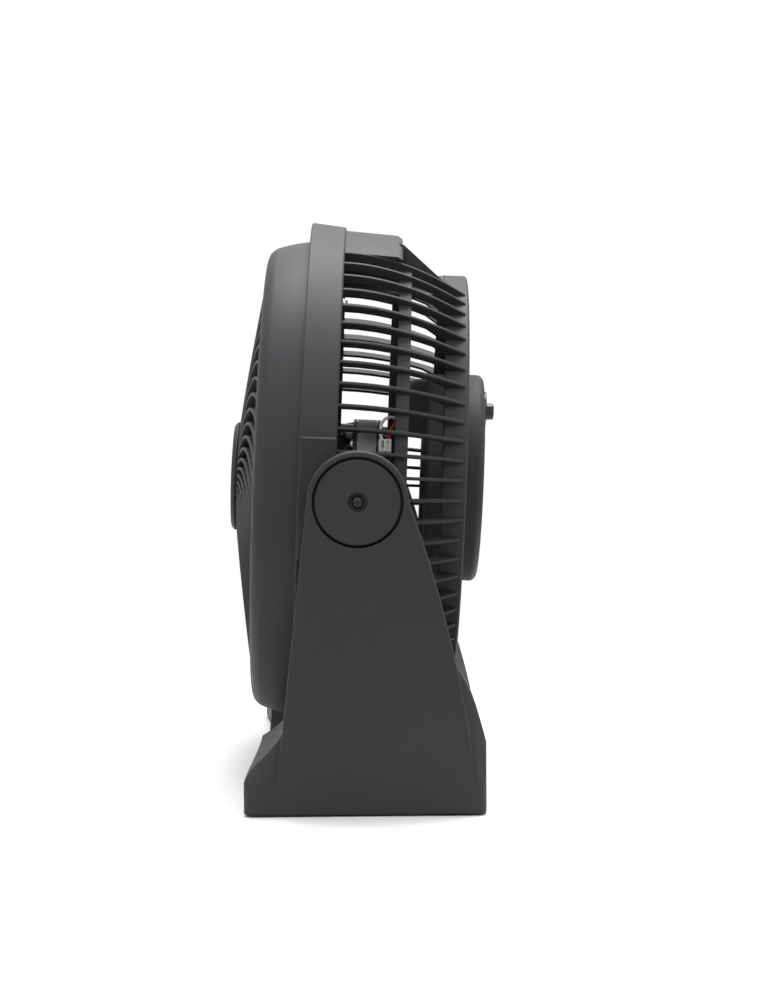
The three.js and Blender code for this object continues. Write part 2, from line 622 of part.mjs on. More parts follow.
/** Side view of the stand, arms and foot together, in (y, z) from the pivot's foot on the floor. */
function standSide(inset, low) {
  const { armTop: r, footFront: a, footRear: b, rearBow, toe } = stand;
  const h = pivotHeight;
  const n = inset;
  const shape = new THREE.Shape();
  shape.moveTo(a + n, low);
  shape.lineTo(a + n, toe - n);
  shape.bezierCurveTo(a + 3.3 + n, toe + 12.5 - n, a + 17.3 + n, toe + 16.5 - n, a + 25 + n, toe + 30.5 - n);
  shape.lineTo(n - r, h);
  shape.absarc(0, h, r - n, Math.PI, 0, true);
  shape.quadraticCurveTo(0.615 * b + 1.9 - n, 0.738 * h, 0.786 * b - n, 0.444 * h);
  shape.bezierCurveTo(0.9 * b - n, 0.4 * h, b + 1 - n, 0.25 * h, b + rearBow - 0.5 - n, toe - n);
  shape.lineTo(b + rearBow - n, low);
  return shape;
}

/** The foot seen from above. */
function standPlan(inset) {
  const { footFront: a, footRear: b, frontBow, rearBow } = stand;
  const w = halfWidth - inset;
  const [front, rear] = [a + inset, b - inset];
  const shape = new THREE.Shape();
  shape.moveTo(-w, front);
  shape.bezierCurveTo(-w * 0.7, front + frontBow * 0.9, -w * 0.5, front + frontBow, 0, front + frontBow);
  shape.bezierCurveTo(w * 0.5, front + frontBow, w * 0.7, front + frontBow * 0.9, w, front);
  shape.lineTo(w, rear);
  shape.quadraticCurveTo(0, rear + 2 * rearBow, -w, rear);
  return shape;
}

/** Round cradle between the arms, in (x, z). */
function cradleShape(grow) {
  const x = armInner + grow;
  const r = cradle + grow;
  const turnBack = Math.acos(x / r);
  const shape = new THREE.Shape();
  shape.moveTo(-x, pivotHeight + 100);
  shape.lineTo(x, pivotHeight + 100);
  shape.absarc(0, pivotHeight, r, -turnBack, turnBack - Math.PI, true);
  return shape;
}

/** Slopes that run up and inward from the outer edge of the foot, in front of and behind each arm. */
function toeSlopes(grow) {
  const { armTop, footFront: a, footRear: b, toe } = stand;
  const z = toe - grow;
  const top = 0.45 * pivotHeight;
  const w = halfWidth - 1.2 * grow;
  const armFront = -armTop - 0.112 * (pivotHeight - top);
  const front = outline([[a + 22.3 + grow, z], [armFront + grow, top], [a - 50, top], [a - 50, z]]);
  const rear = outline([[b - 6.2 - grow, z], [b - 11.8 - grow, 0.29 * pivotHeight],
    [0.786 * b - grow, top], [b + 50, top], [b + 50, z]]);
  const wedge = (s) => outline([[s * w, z], [s * (w - 58), z + 100],
    [s * (halfWidth + 1), z + 100], [s * (halfWidth + 1), z]]);
  const sides = join([1, -1].map((s) => alongY(wedge(s), a - 60, b + 60)));
  return common(join([front, rear].map((s) => alongX(s, -halfWidth - 1, halfWidth + 1))), sides);
}

function footPlaces() {
  const { footFront: a, footRear: b } = stand;
  const x = halfWidth - rubberFoot.inset;
  const front = a + rubberFoot.inset;
  const rear = b - rubberFoot.inset;
  return [['front_right', x, front], ['front_left', -x, front], ['rear_right', x, rear], ['rear_left', -x, rear]];
}

function standBody() {
  const w = halfWidth;
  const tall = pivotHeight + 60;
  const block = common(alongX(standSide(0, stand.rim), -w, w, 6), solid(extrude(standPlan(0), tall, 6)));
  const outer = cut(block, alongY(cradleShape(0), -150, 150, 18), toeSlopes(0));
  const blank = common(alongX(standSide(wall, -1), wall - w, w - wall, 4), solid(extrude(standPlan(wall), tall, 4)
    .translate(0, 0, -1)));
  const below = box([-w, w], [-150, 150], [-2, pivotHeight - stand.solidAbove]);
  const hollow = cut(common(blank, below), alongY(cradleShape(wall), -150, 150, 10), toeSlopes(wall));
  const rodZ = (radius, from, to, [x, y], segments) => solid(
    new THREE.CylinderGeometry(radius, radius, to - from, segments).rotateX(Math.PI / 2)
      .translate(x, y, (from + to) / 2));
  const places = footPlaces().map(([, x, y]) => [x, y]);
  const bosses = places.map((p) => rodZ(rubberFoot.radius + wall, stand.rim, stand.toe - 4, p, 14));
  const sockets = places.map((p) => rodZ(rubberFoot.radius + gap, -1, rubberFoot.height + gap, p, 16));
  const rodX = (radius, from, to) => solid(new THREE.CylinderGeometry(radius, radius, to - from, 30)
    .rotateZ(Math.PI / 2).translate((from + to) / 2, 0, pivotHeight));
  const bores = [1, -1].flatMap((s) => [
    rodX(pivot.bossRadius + gap + 0.1, ...[s * (armInner - 1), s * (w + 1)].sort((p, q) => p - q)),
    rodX(capSeat.radius, ...[s * capSeatX, s * (w + 1)].sort((p, q) => p - q))]);
  return cut(join(cut(outer, hollow), common(join(bosses), block)), ...sockets, ...bores);
}

/** Disc that closes the end of the arm; drawn along Y from the head's boss outwards. */
function pivotCap() {
  const inner = capSeatX + gap;
  const outer = halfWidth + capSeat.proud;
  const r = capSeat.capRadius;
  const disc = turn([[0, inner], [r, inner], [r, outer - 1], [r - 1, outer], [0, outer]], 30);
  return cut(disc, rod(capSeat.screwRecess, outer - capSeat.screwSink, outer + 1, 18),
    rod(pivotScrew.shankRadius + gap, inner - 1, outer, 10));
}

// ---------------------------------------------------------------- finishes

const finish = (color, roughness, metalness = 0) => new THREE.MeshStandardMaterial({ color, roughness, metalness });
const charcoal = finish(0x3a3a3e, 0.62);
const slate = finish(0x55585e, 0.55);
const black = finish(0x141416, 0.5);
const rubber = finish(0x1b1b1c, 0.9);
const steel = finish(0xb5b8bb, 0.35, 1);
const darkSteel = finish(0x3c3e42, 0.45, 1);
const bronze = finish(0x8c6a3f, 0.4, 1);
const copper = finish(0xb4622f, 0.4, 1);
const nylon = finish(0xe6e4dc, 0.55);
const red = finish(0xb3261e, 0.5);
const filmWrap = finish(0xd9dce0, 0.35);

// ---------------------------------------------------------------- assembly

function asMesh(name, body, material, position = [0, 0, 0], rotation = [0, 0, 0]) {
  const { vertProperties, triVerts } = body.getMesh();
  const geometry = new THREE.BufferGeometry();
  geometry.setAttribute('position', new THREE.BufferAttribute(new Float32Array(vertProperties), 3));
  geometry.setIndex(new THREE.BufferAttribute(new Uint32Array(triVerts), 1));
  const flat = geometry.toNonIndexed();
  flat.computeVertexNormals();
  const mesh = new THREE.Mesh(flat, material);
  mesh.name = name;
  mesh.position.set(...position);
  mesh.rotation.set(...rotation);
  return mesh;
}

/** Rotation about the fan's own width that points a piece drawn along +Y out of one side. */
const sideways = (s) => [0, 0, (-s * Math.PI) / 2];
const backwards = [Math.PI, 0, 0];
const sides = [['right', 1], ['left', -1]];

function standGroup() {
  const group = new THREE.Group();
  group.position.y = -pivotForward;
  group.add(asMesh('stand', standBody(), charcoal));
  for (const [where, x, y] of footPlaces()) {
    const pad = turn([[0, 0], [rubberFoot.radius - 0.6, 0], [rubberFoot.radius, 0.6],
      [rubberFoot.radius, rubberFoot.height], [0, rubberFoot.height]], 16);
    group.add(asMesh(`rubber_foot_${where}`, pad, rubber, [x, y, 0], [Math.PI / 2, 0, 0]));
  }
  for (const [side, s] of sides) {
    const washer = sleeve(pivot.bossRadius + 2 * gap, pivot.bossRadius + 11, armInner - gap - washerWall,
      armInner - gap, 20);
    group.add(asMesh(`friction_washer_${side}`, washer, nylon, [0, 0, pivotHeight], sideways(s)));
  }
  return group;
}

function motorPieces() {
  const { front, rear, stackFront, stackRear } = motor;
  const boltHead = stackFront - 2 * gap - bellWall;
  const bush = (from) => sleeve(shaft.radius + gap, bearing.radius, from, from + bearing.length, 18);
  const bolt = screw(motorBolts, plateRear - 0.6 - boltHead);
  const seatScrew = screw({ headRadius: 3, headHeight: 2, shankRadius: 1.4 }, 9);
  const edge = motor.radius + gap;
  const blockY = plateRear - connector.depth;
  const block = radialBlock([edge, edge + connector.length], [blockY, plateRear], connector.width, connector.angle);
  const at = (r, a, y) => {
    const [x, , z] = onCircle(r, a);
    return [x, y, z];
  };
  const [cx, , cz] = onCircle(edge + connector.length / 2, connector.angle);
  const [tx, , tz] = onCircle(connector.width / 2 + 0.6, connector.angle + 90);
  const [sx, sz] = [cx + tx, cz + tz];
  const box0 = switchBox.front;
  const leadIn = switchBottom + 10;
  const hot = lead([[sx, blockY + 7, sz], [sx - 3.5, blockY + 8, sz + 6.5], [27, box0 - 9, leadIn - 0.5],
    [18.5, box0 - 3.5, leadIn + 1.5], [15.2, box0 + 0.5, leadIn + 1.2], [15, box0 + 4, leadIn + 1.2]], 1.1);
  const [bendX, , bendZ] = onCircle(motorBolts.circle + bracket.postRadius + 10.8, 57.8);
  const back = lead([[sx, blockY + 2.5, sz], [sx - 3, blockY + 1, sz + 6.5], [bendX, box0 - 17, bendZ],
    [19, box0 - 8, leadIn + 2.5], [12.9, box0 - 0.5, leadIn - 1.5], [12.6, box0 + 4, leadIn - 1.5]], 1.1);
  return [
    asMesh('motor_bracket', motorBracket(), black),
    asMesh('motor_front_bell', endBell(front, stackFront), darkSteel),
    asMesh('motor_rear_bell', endBell(rear, stackRear), darkSteel),
    asMesh('stator_stack', stator(), steel),
    asMesh('stator_winding', windings(), copper),
    asMesh('bearing_front', bush(front), bronze),
    asMesh('bearing_rear', bush(rear - bearing.length), bronze),
    asMesh('lead_connector', block, nylon),
    asMesh('lead_red', hot, red),
    asMesh('lead_white', back, nylon),
    ...boltAngles.map((a, i) => asMesh(`motor_bolt_${i + 1}`, bolt, steel, at(motorBolts.circle, a, boltHead))),
    ...bracketSeats.map(({ angle, radius }, i) => asMesh(`bracket_screw_${i + 1}`, seatScrew, steel,
      at(radius, angle, plateFront - gap))),
  ];
}

function controlPieces() {
  const inside = cover.rear - cover.wall;
  const coverScrew = screw(coverScrews, cover.rear - coverScrews.sink - dish.bossRear + coverScrews.grip);
  const head = cover.rear - coverScrews.sink + gap;
  const nut = cut(rod(7.5, cover.rear + gap, cover.rear + gap + 1.1, 6), rod(5.1, cover.rear, cover.rear + 2, 16));
  const spread = (middle, size) => [middle - size / 2, middle + size / 2];
  const can = box(spread(capacitor.centre[0], capacitor.x),
    [dish.front + dish.wall + gap, dish.front + dish.wall + gap + capacitor.y],
    spread(capacitor.centre[1], capacitor.z));
  return [
    asMesh('rear_cover', rearCover(), charcoal),
    asMesh('rotary_switch', rotarySwitch(), black),
    asMesh('switch_nut', nut, steel, [0, 0, knobZ]),
    asMesh('cord_inlet', cordInlet(), black, [0, 0, inletZ]),
    asMesh('capacitor', can, filmWrap),
    asMesh('speed_knob', speedKnob(), black, [0, 0, knobZ]),
    asMesh('switch_shaft', rod(switchShaftRadius, inside - 16, knob.rear - 2, 16), steel, [0, 0, knobZ]),
    ...coverScrewPlaces().map(([x, , z], i) => asMesh(`cover_screw_${i + 1}`, coverScrew, steel,
      [x, head, z], backwards)),
  ];
}

function rotorGroup() {
  const group = new THREE.Group();
  const pin = new THREE.CylinderGeometry(drivePin.radius, drivePin.radius, drivePin.length, 12);
  const [coreFront, coreRear] = [motor.stackFront, motor.stackRear];
  const washer = (from, to) => sleeve(shaft.radius + gap, 7.4, from, to, 16);
  const bushEnd = motor.front + bearing.length;
  group.add(
    asMesh('fan_wheel', fanWheel(), black),
    asMesh('motor_shaft', motorShaft(), steel),
    asMesh('rotor_core', sleeve(shaft.radius + gap, rotorRadius, coreFront, coreRear, 18), steel),
    asMesh('blade_nut', bladeNut(), black),
    asMesh('drive_pin', solid(pin), steel, [0, drivePin.y, 0], [0, 0, Math.PI / 2]),
    asMesh('thrust_washer_front', washer(bushEnd + gap, coreFront - gap), nylon),
    asMesh('thrust_washer_rear', washer(coreRear + gap, motor.rear - bearing.length - gap), nylon),
  );
  return group;
}

function headGroup() {
  const group = new THREE.Group();
  group.position.set(0, -pivotForward, pivotHeight);
  group.rotation.x = -rad(restTilt);
  const grilleScrew = screw({ headRadius: 3.2, headHeight: 2.2, shankRadius: 1.6 }, 12);
  const crossScrew = cut(screw(pivotScrew, pivotScrew.length, 16), crossRecess(pivotScrew));
  const screwSeat = halfWidth + capSeat.proud - capSeat.screwSink + gap;
  const { cage, hold } = rearGuard();
  group.add(
    asMesh('rear_guard', cage, charcoal),
    asMesh('hand_hold', hold, charcoal),
    asMesh('front_grille', frontGrille(), slate),
    asMesh('front_badge', frontBadge(), charcoal),
    ...sides.flatMap(([side, s]) => [
      asMesh(`pivot_cap_${side}`, pivotCap(), charcoal, [0, 0, 0], sideways(s)),
      asMesh(`pivot_screw_${side}`, crossScrew, darkSteel, [s * screwSeat, 0, 0], [0, 0, (s * Math.PI) / 2]),
    ]),
    ...grilleScrews.angles.map((a, i) => {
      const [x, , z] = onCircle(grilleScrews.circle, a);
      return asMesh(`grille_screw_${i + 1}`, grilleScrew, steel, [x, band.rear + gap, z], backwards);
    }),
    ...motorPieces(),
    ...controlPieces(),
    rotorGroup(),
  );
  return group;
}

const fan = new THREE.Group();
fan.add(standGroup(), headGroup());

export default fan;
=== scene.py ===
"""A 12-inch table air circulator: the finished look of every moulding, screw and lead.

Shapes are drawn in millimetres. The head's are drawn from its pivot, with the fan axis along Y and the
air leaving towards -Y, and the stand's from the floor under the pivot. Each is placed, in metres, as it
is finished."""
import json
import math

import bmesh
import bpy
from mathutils import Matrix, Vector


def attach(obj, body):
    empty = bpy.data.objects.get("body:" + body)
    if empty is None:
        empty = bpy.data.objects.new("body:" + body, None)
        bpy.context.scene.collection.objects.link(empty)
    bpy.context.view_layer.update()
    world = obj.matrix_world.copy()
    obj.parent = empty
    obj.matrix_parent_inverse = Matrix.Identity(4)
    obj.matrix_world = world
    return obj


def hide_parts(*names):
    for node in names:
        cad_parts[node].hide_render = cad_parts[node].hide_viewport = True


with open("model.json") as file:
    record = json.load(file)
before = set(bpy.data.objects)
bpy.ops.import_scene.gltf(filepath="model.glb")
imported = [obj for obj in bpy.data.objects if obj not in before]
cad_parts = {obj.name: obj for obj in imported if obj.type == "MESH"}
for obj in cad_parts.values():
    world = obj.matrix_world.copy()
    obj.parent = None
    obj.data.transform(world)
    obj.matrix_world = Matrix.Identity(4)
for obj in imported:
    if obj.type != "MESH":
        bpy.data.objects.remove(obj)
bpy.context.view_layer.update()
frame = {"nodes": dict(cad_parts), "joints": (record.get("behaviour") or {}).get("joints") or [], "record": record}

# ------------------------------------------------------------------ sizes, in millimetres

GAP = 0.3
WALL = 3.0
LAP = 1.0  # how far one shape sinks into the next where both are one moulding
OVERRUN = 1.0  # how far a cutter reaches past what it cuts
BAND = {"radius": 183.0, "rear_radius": 180.6, "front": -39.2, "rear": -14.9}
FRONT_RING = 169.5
FINS = {"count": 72, "outer": 178.4, "drop": 29.0, "curve": 1.9, "end": 70.0, "thickness": 2.2, "depth": 6.5}
MID_RING = {"outer": 166.4, "inner": 161.4, "front": 22.7, "rear": 31.5}
REAR_RING = {"radius": 149.4, "front": 55.0, "rear": 71.6, "wall": 4.0, "flange": 14.4, "flange_wall": 5.0}
REAR_RIBS = {"count": 48, "thickness": 2.0, "depth": 4.2}
DISH = {"radius": 73.5, "rise": 5.0, "front": 46.0, "wall": 2.5, "boss_rear": 66.5}
SWITCH_BOX = {"half_width": 25.0, "bottom": 34.0, "top": 74.0, "front": 34.0, "corner": 7.0}
HANDLE = {"half_angle": 25.0, "plate_wall": 5.0, "plate_rear": 25.0, "floor_wall": 2.9, "side_x": 46.0}
PAD = {"face": 182.2, "inside": 166.4, "half_height": 40.0, "radius": 24.0, "boss": 13.0, "boss_root": 177.2,
       "boss_end": 191.0}
GRILLE = {"lip": -69.6, "opening": 147.0, "ribs": 60, "thickness": 2.2, "hub_thickness": 1.5,
          "depth": 5.5, "rise": 20.3, "curve": 1.25, "lean": 42.0}
GRILLE_SCREWS = {"circle": FRONT_RING + 2.8, "angles": (47.5, 132.5, 227.5, 312.5)}
HUB = {"radius": 38.6, "front": -86.0, "depth": 6.5, "wall": 2.5}
BADGE = {"thickness": 4.5, "edge": 2.5}
MOTOR = {"radius": 44.0, "front": -14.0, "rear": 19.4, "stack_front": -1.7, "stack_rear": 12.0,
         "bell": 35.0, "bell_wall": 2.5, "bearing": 8.0, "stack_bore": 17.9, "vents": 10}
BOLTS = {"circle": 39.5, "angles": (45, 135, 225, 315)}
PLATE = {"front": 19.7, "rear": 22.4, "web_rear": 30.0, "arm_width": 14.0, "web": 3.5, "hub": 43.4,
         "bore": 9.5, "boss": 3.9, "boss_bore": 2.0}
CONNECTOR = {"angle": 33, "length": 9.0, "width": 10.0, "depth": 9.0}
LEAD_RADIUS = 1.1
WHEEL = {"hub": 36.0, "front": -58.0, "rear": -19.0, "boss": 9.0, "bore": 4.3, "blades": 5,
         "first_blade": 11.0, "tip": 151.0}
BLADE = {"root_chord": 44.0, "tip_chord": 88.0, "root_pitch": 52.0, "tip_pitch": 24.0, "camber": 4.0,
         "thickness": 2.0, "sweep": 0.35}
NUT = {"front": -68.0, "radius": 9.0, "floor": -64.3, "flutes": 12, "flute": 1.3}
SHAFT = {"front": -64.0, "radius": 4.0}
COVER = {"radius": 74.0, "front": 71.9, "rear": 87.0, "wall": 2.5, "vent_rear": 75.5}
COVER_SCREWS = {"circle": 62.0, "angles": (30, 150, 270), "sink": 5.0, "well": 3.7, "cup": 5.4, "post": 5.0,
                "bore": 1.9}
KNOB = {"z": 53.3, "skirt": 14.0, "bore": 3.4, "rear": 95.2, "grip_width": 12.0, "grip_length": 26.0,
        "skirt_wall": 2.4, "bush": 5.1}
DIAL = {"dots": 4, "angle": 45, "out": 3.5}
INLET = {"z": -38.0, "radius": 8.5, "bore": 3.4, "proud": 2.6}
STAND = {"inner": 184.8, "half_width": 197.5, "cradle": 188.951, "pivot_height": 203.951, "arm_top": 33.0,
         "foot_front": -75.3, "foot_rear": 82.1, "rear_bow": 5.4, "front_bow": 8.8, "toe": 21.5,
         "toe_run": 58.0, "solid_above": 39.0, "rim": 1.0}
CAP = {"seat": 29.3, "seat_x": 191.0, "radius": 27.75, "face": 197.3, "recess": 6.35, "sink": 3.6}
FOOT = {"radius": 8.0, "height": 3.3, "inset": 13.5}

# ------------------------------------------------------------------ places

joints = {joint["name"]: joint for joint in frame["joints"]}
PIVOT = Vector(joints["head_tilt"]["pos_m"])
FAN_AXIS = Vector(joints["fan_spin"]["axis"])
REST_TILT = math.atan2(-FAN_AXIS.z, FAN_AXIS.y)
METRES = Matrix.Scale(0.001, 4)
HEAD = Matrix.Translation(PIVOT) @ Matrix.Rotation(-REST_TILT, 4, "X") @ METRES
BASE = Matrix.Translation((0, PIVOT.y, 0)) @ METRES
OUT_OF_SIDE = {1: Matrix.Rotation(-math.pi / 2, 4, "Z"), -1: Matrix.Rotation(math.pi / 2, 4, "Z")}
TO_REAR = Matrix.Rotation(math.pi, 4, "X")


def on_circle(radius, degrees, y=0.0, rise=0.0):
    """A point at an angle about the fan axis, counted from +X towards +Z."""
    angle = math.radians(degrees)
    return Vector((radius * math.cos(angle), y, radius * math.sin(angle) + rise))


def about_axis(degrees):
    """Turns a shape drawn at +X to an angle about the fan axis."""
    return Matrix.Rotation(-math.radians(degrees), 4, "Y")


# ------------------------------------------------------------------ shapes

FINEST_ARC = math.radians(15)
LONGEST_CORNER = 0.48  # the part of a side that the arc at its end may take up


def rounded(corners):
    """A closed outline; a corner given as (a, b, radius) becomes an arc."""
    points = []
    for i, (a, b, *radius) in enumerate(corners):
        here = Vector((a, b))
        if not radius:
            points.append(here)
            continue
        before = Vector(corners[i - 1][:2]) - here
        after = Vector(corners[(i + 1) % len(corners)][:2]) - here
        half = before.angle(after) / 2
        reach = min(radius[0] / math.tan(half), LONGEST_CORNER * before.length, LONGEST_CORNER * after.length)
        centre = here + (before.normalized() + after.normalized()).normalized() * reach / math.cos(half)
        start = here + before.normalized() * reach - centre
        end = here + after.normalized() * reach - centre
        sweep = start.angle(end)
        count = max(2, math.ceil(sweep / FINEST_ARC))
        for k in range(count + 1):
            share = k / count
            spoke = start * math.sin((1 - share) * sweep) + end * math.sin(share * sweep)
            points.append(centre + spoke / math.sin(sweep))
    return points


def oblong(inner, outer, front, rear, *edge):
    """The four corners of a plain profile, all rounded if an edge radius is given."""
    return [(inner, front, *edge), (outer, front, *edge), (outer, rear, *edge), (inner, rear, *edge)]


def arc(centre, radius, start, end, count):
    """Points along an arc between two angles in degrees."""
    angles = [math.radians(start + (end - start) * k / count) for k in range(count + 1)]
    return [(centre[0] + radius * math.cos(a), centre[1] + radius * math.sin(a)) for a in angles]


def bezier(start, one, two, end, count=14):
    """Points along a cubic curve, without its first one."""
    def at(t):
        u = 1 - t
        return tuple(u ** 3 * p + 3 * u * u * t * q + 3 * u * t * t * r + t ** 3 * s
                     for p, q, r, s in zip(start, one, two, end))
    return [at((k + 1) / count) for k in range(count)]


def smooth_line(points, per_span=5):
    """Points of a smooth line through some points, ends included."""
    knots = [Vector(p) for p in points]
    knots = [2 * knots[0] - knots[1], *knots, 2 * knots[-1] - knots[-2]]
    line = [knots[1]]
    for a, b, c, d in zip(knots, knots[1:], knots[2:], knots[3:]):
        for k in range(1, per_span + 1):
            t = k / per_span
            line.append(0.5 * (2 * b + (c - a) * t + (2 * a - 5 * b + 4 * c - d) * t * t
                               + (3 * b - 3 * c + d - a) * t ** 3))
    return [tuple(p) for p in line]


def closed(bm):
    """Merges points that coincide, drops empty faces and turns every face outwards."""
    bmesh.ops.remove_doubles(bm, verts=bm.verts, dist=1e-4)
    bmesh.ops.dissolve_degenerate(bm, dist=1e-4, edges=bm.edges)
    bmesh.ops.recalc_face_normals(bm, faces=bm.faces)
    return bm


def turned(profile, steps=144, centre=(0, 0, 0), sweep=360.0, start=0.0):
    """A profile of (radius, y) corners turned about Y, from the axis to the axis or closed on itself."""
    whole = sweep == 360
    bm = bmesh.new()
    points = [bm.verts.new((r, y, 0)) for r, y in rounded(profile)]
    pairs = list(zip(points, points[1:] + points[:1]))
    if whole:
        seeds = points + [bm.edges.new(p) for p in pairs if p[0].co.x > 0 or p[1].co.x > 0]
    else:
        seeds = [bm.faces.new(points)]
    bmesh.ops.spin(bm, geom=seeds, cent=(0, 0, 0), axis=(0, -1, 0), angle=math.radians(sweep), steps=steps,
                   use_merge=whole)
    bmesh.ops.transform(bm, matrix=Matrix.Translation(centre) @ about_axis(start), verts=bm.verts)
    return closed(bm)


def prism(outline, low, high, axis):
    """An outline extruded along an axis: (y, z) along X, (x, z) along Y, or (x, y) along Z."""
    def at(a, b, along):
        point = [a, b]
        point.insert("XYZ".index(axis), along)
        return tuple(point)

    bm = bmesh.new()
    face = bm.faces.new([bm.verts.new(at(a, b, low)) for a, b in outline])
    lifted = bmesh.ops.extrude_face_region(bm, geom=[face])["geom"]
    top = [v for v in lifted if isinstance(v, bmesh.types.BMVert)]
    bmesh.ops.translate(bm, verts=top, vec=at(0, 0, high - low))
    return closed(bm)


def block(x, y, z):
    """A box between two values on each axis."""
    return prism([(x[0], y[0]), (x[1], y[0]), (x[1], y[1]), (x[0], y[1])], *z, "Z")


def sheet_of(place, u_steps, v_steps, thickness):
    """A plate of even thickness: place gives one of its faces, for u and v from 0 to 1."""
    bm = bmesh.new()
    bmesh.ops.create_grid(bm, x_segments=u_steps, y_segments=v_steps, size=0.5)
    for v in bm.verts:
        v.co = place(v.co.x + 0.5, v.co.y + 0.5)
    bmesh.ops.recalc_face_normals(bm, faces=bm.faces)
    bmesh.ops.solidify(bm, geom=bm.faces[:], thickness=thickness)
    return closed(bm)


def softened(bm, width, segments=2, sharper_than=40.0, clamp=True):
    """Rounds the edges where two faces meet at more than an angle."""
    limit = math.radians(sharper_than)
    sharp = [e for e in bm.edges if len(e.link_faces) == 2 and e.calc_face_angle() > limit]
    bmesh.ops.bevel(bm, geom=sharp, offset=width, offset_type="OFFSET", segments=segments, profile=0.5,
                    affect="EDGES", material=-1, clamp_overlap=clamp)
    return bm


def moved(bm, matrix):
    """The same shape, turned or put somewhere else."""
    bmesh.ops.transform(bm, matrix=matrix, verts=bm.verts)
    return bm


def mirrored(bm):
    """The same shape on the other side of the fan."""
    moved(bm, Matrix.Diagonal((-1, 1, 1, 1)))
    bmesh.ops.recalc_face_normals(bm, faces=bm.faces)
    return bm


def gathered(shapes):
    """Several shapes in one mesh."""
    whole = bmesh.new()
    for bm in shapes:
        held = bpy.data.meshes.new("held")
        bm.to_mesh(held)
        bm.free()
        whole.from_mesh(held)
        bpy.data.meshes.remove(held)
    return whole


SLANT = Vector((1.0, 0.6180, 0.4142))  # a direction off every axis, across which few points are level


def in_order(bm):
    """Puts points, edges and faces in order of place, so that each run goes on from the same mesh."""
    bm.verts.sort(key=lambda v: v.co.dot(SLANT))
    bm.edges.sort(key=lambda e: (e.verts[0].co + e.verts[1].co).dot(SLANT))
    bm.faces.sort(key=lambda f: f.calc_center_median().dot(SLANT))


def carved(body, *tools, operation="DIFFERENCE"):
    """A body with each tool cut out of it, or with what it shares with the tool."""
    objects = []
    for bm in (body, *tools):
        mesh = bpy.data.meshes.new("carving")
        bm.to_mesh(mesh)
        bm.free()
        objects.append(bpy.data.objects.new("carving", mesh))
        bpy.context.scene.collection.objects.link(objects[-1])
    for tool in objects[1:]:
        cut = objects[0].modifiers.new("cut", "BOOLEAN")
        cut.operation, cut.solver, cut.object = operation, "EXACT", tool
    bpy.context.view_layer.update()
    solid = objects[0].evaluated_get(bpy.context.evaluated_depsgraph_get())
    result = bmesh.new()
    result.from_mesh(solid.data)
    for thing in objects:
        mesh = thing.data
        bpy.data.objects.remove(thing)
        bpy.data.meshes.remove(mesh)
    in_order(result)
    bmesh.ops.remove_doubles(result, verts=result.verts, dist=1e-3)
    bmesh.ops.dissolve_degenerate(result, dist=1e-3, edges=result.edges)
    return result


# ------------------------------------------------------------------ materials

class Amount:
    """A number that a material's nodes work out; Python's operators on it add Math nodes."""

    def __init__(self, paint, link):
        self.paint, self.link = paint, link

    def __add__(self, other):
        return self.paint.math("ADD", self, other)

    def __sub__(self, other):
        return self.paint.math("SUBTRACT", self, other)

    def __rsub__(self, other):
        return self.paint.math("SUBTRACT", other, self)

    def __mul__(self, other):
        return self.paint.math("MULTIPLY", self, other)

    __radd__, __rmul__ = __add__, __mul__


class Paint:
    """One material: its nodes, and the Principled shader that they feed."""

    def __init__(self, name, **shader):
        self.material = bpy.data.materials.new(name)
        self.material.use_nodes = True
        self.tree = self.material.node_tree
        self.shader = self.tree.nodes["Principled BSDF"]
        self.set(**shader)

    def set(self, **values):
        """Gives the shader's sockets, by name, their values or links."""
        for name, value in values.items():
            self.feed(self.shader.inputs[name.replace("_", " ").title().replace("Ior", "IOR")], value)

    def feed(self, socket, value):
        """Gives one socket a value or a link."""
        if isinstance(value, Amount):
            self.tree.links.new(value.link, socket)
        elif isinstance(value, bpy.types.NodeSocket):
            self.tree.links.new(value, socket)
        elif socket.type == "RGBA":
            socket.default_value = (*value, 1.0)
        else:
            socket.default_value = value

    def node(self, kind, settings=None, sockets=None):
        """A node of a type, with its settings set first and then its sockets' values or links."""
        node = self.tree.nodes.new(kind)
        for name, value in (settings or {}).items():
            if name == "stops":
                for element, (position, grey) in zip(node.color_ramp.elements, value):
                    element.position, element.color = position, (grey, grey, grey, 1)
            else:
                setattr(node, name, value)
        for name, value in (sockets or {}).items():
            self.feed(node.inputs[name], value)
        return node

    def math(self, operation, one, two):
        """What a Math node makes of two numbers."""
        node = self.node("ShaderNodeMath", {"operation": operation}, {0: one, 1: two})
        return Amount(self, node.outputs[0])

    def place(self, stretch=(1, 1, 1), turn=(0, 0, 0)):
        """Where a point is on the object, stretched and turned."""
        at = self.node("ShaderNodeTexCoord").outputs["Object"]
        mapping = {"Vector": at, "Scale": stretch, "Rotation": turn}
        return self.node("ShaderNodeMapping", None, mapping).outputs[0]

    def noise(self, at, size, detail=2.0, roughness=0.5):
        """Cloudy noise whose clouds have a size in millimetres."""
        sockets = {"Vector": at, "Scale": 1000 / size, "Detail": detail, "Roughness": roughness}
        return Amount(self, self.node("ShaderNodeTexNoise", None, sockets).outputs["Fac"])

    def ramp(self, amount, low, high):
        """0 below one value and 1 above another."""
        node = self.node("ShaderNodeValToRGB", {"stops": [(low, 0.0), (high, 1.0)]}, {"Fac": amount})
        return Amount(self, node.outputs["Color"])

    def blend(self, share, one, two):
        """A colour between two."""
        node = self.node("ShaderNodeMix", {"data_type": "RGBA"}, {"Factor": share})
        self.feed(node.inputs[6], one)
        self.feed(node.inputs[7], two)
        return node.outputs[2]

    def relief(self, height, depth):
        """Bumps that are a depth in millimetres."""
        sockets = {"Height": height, "Distance": depth / 1000}
        self.set(normal=self.node("ShaderNodeBump", None, sockets).outputs["Normal"])


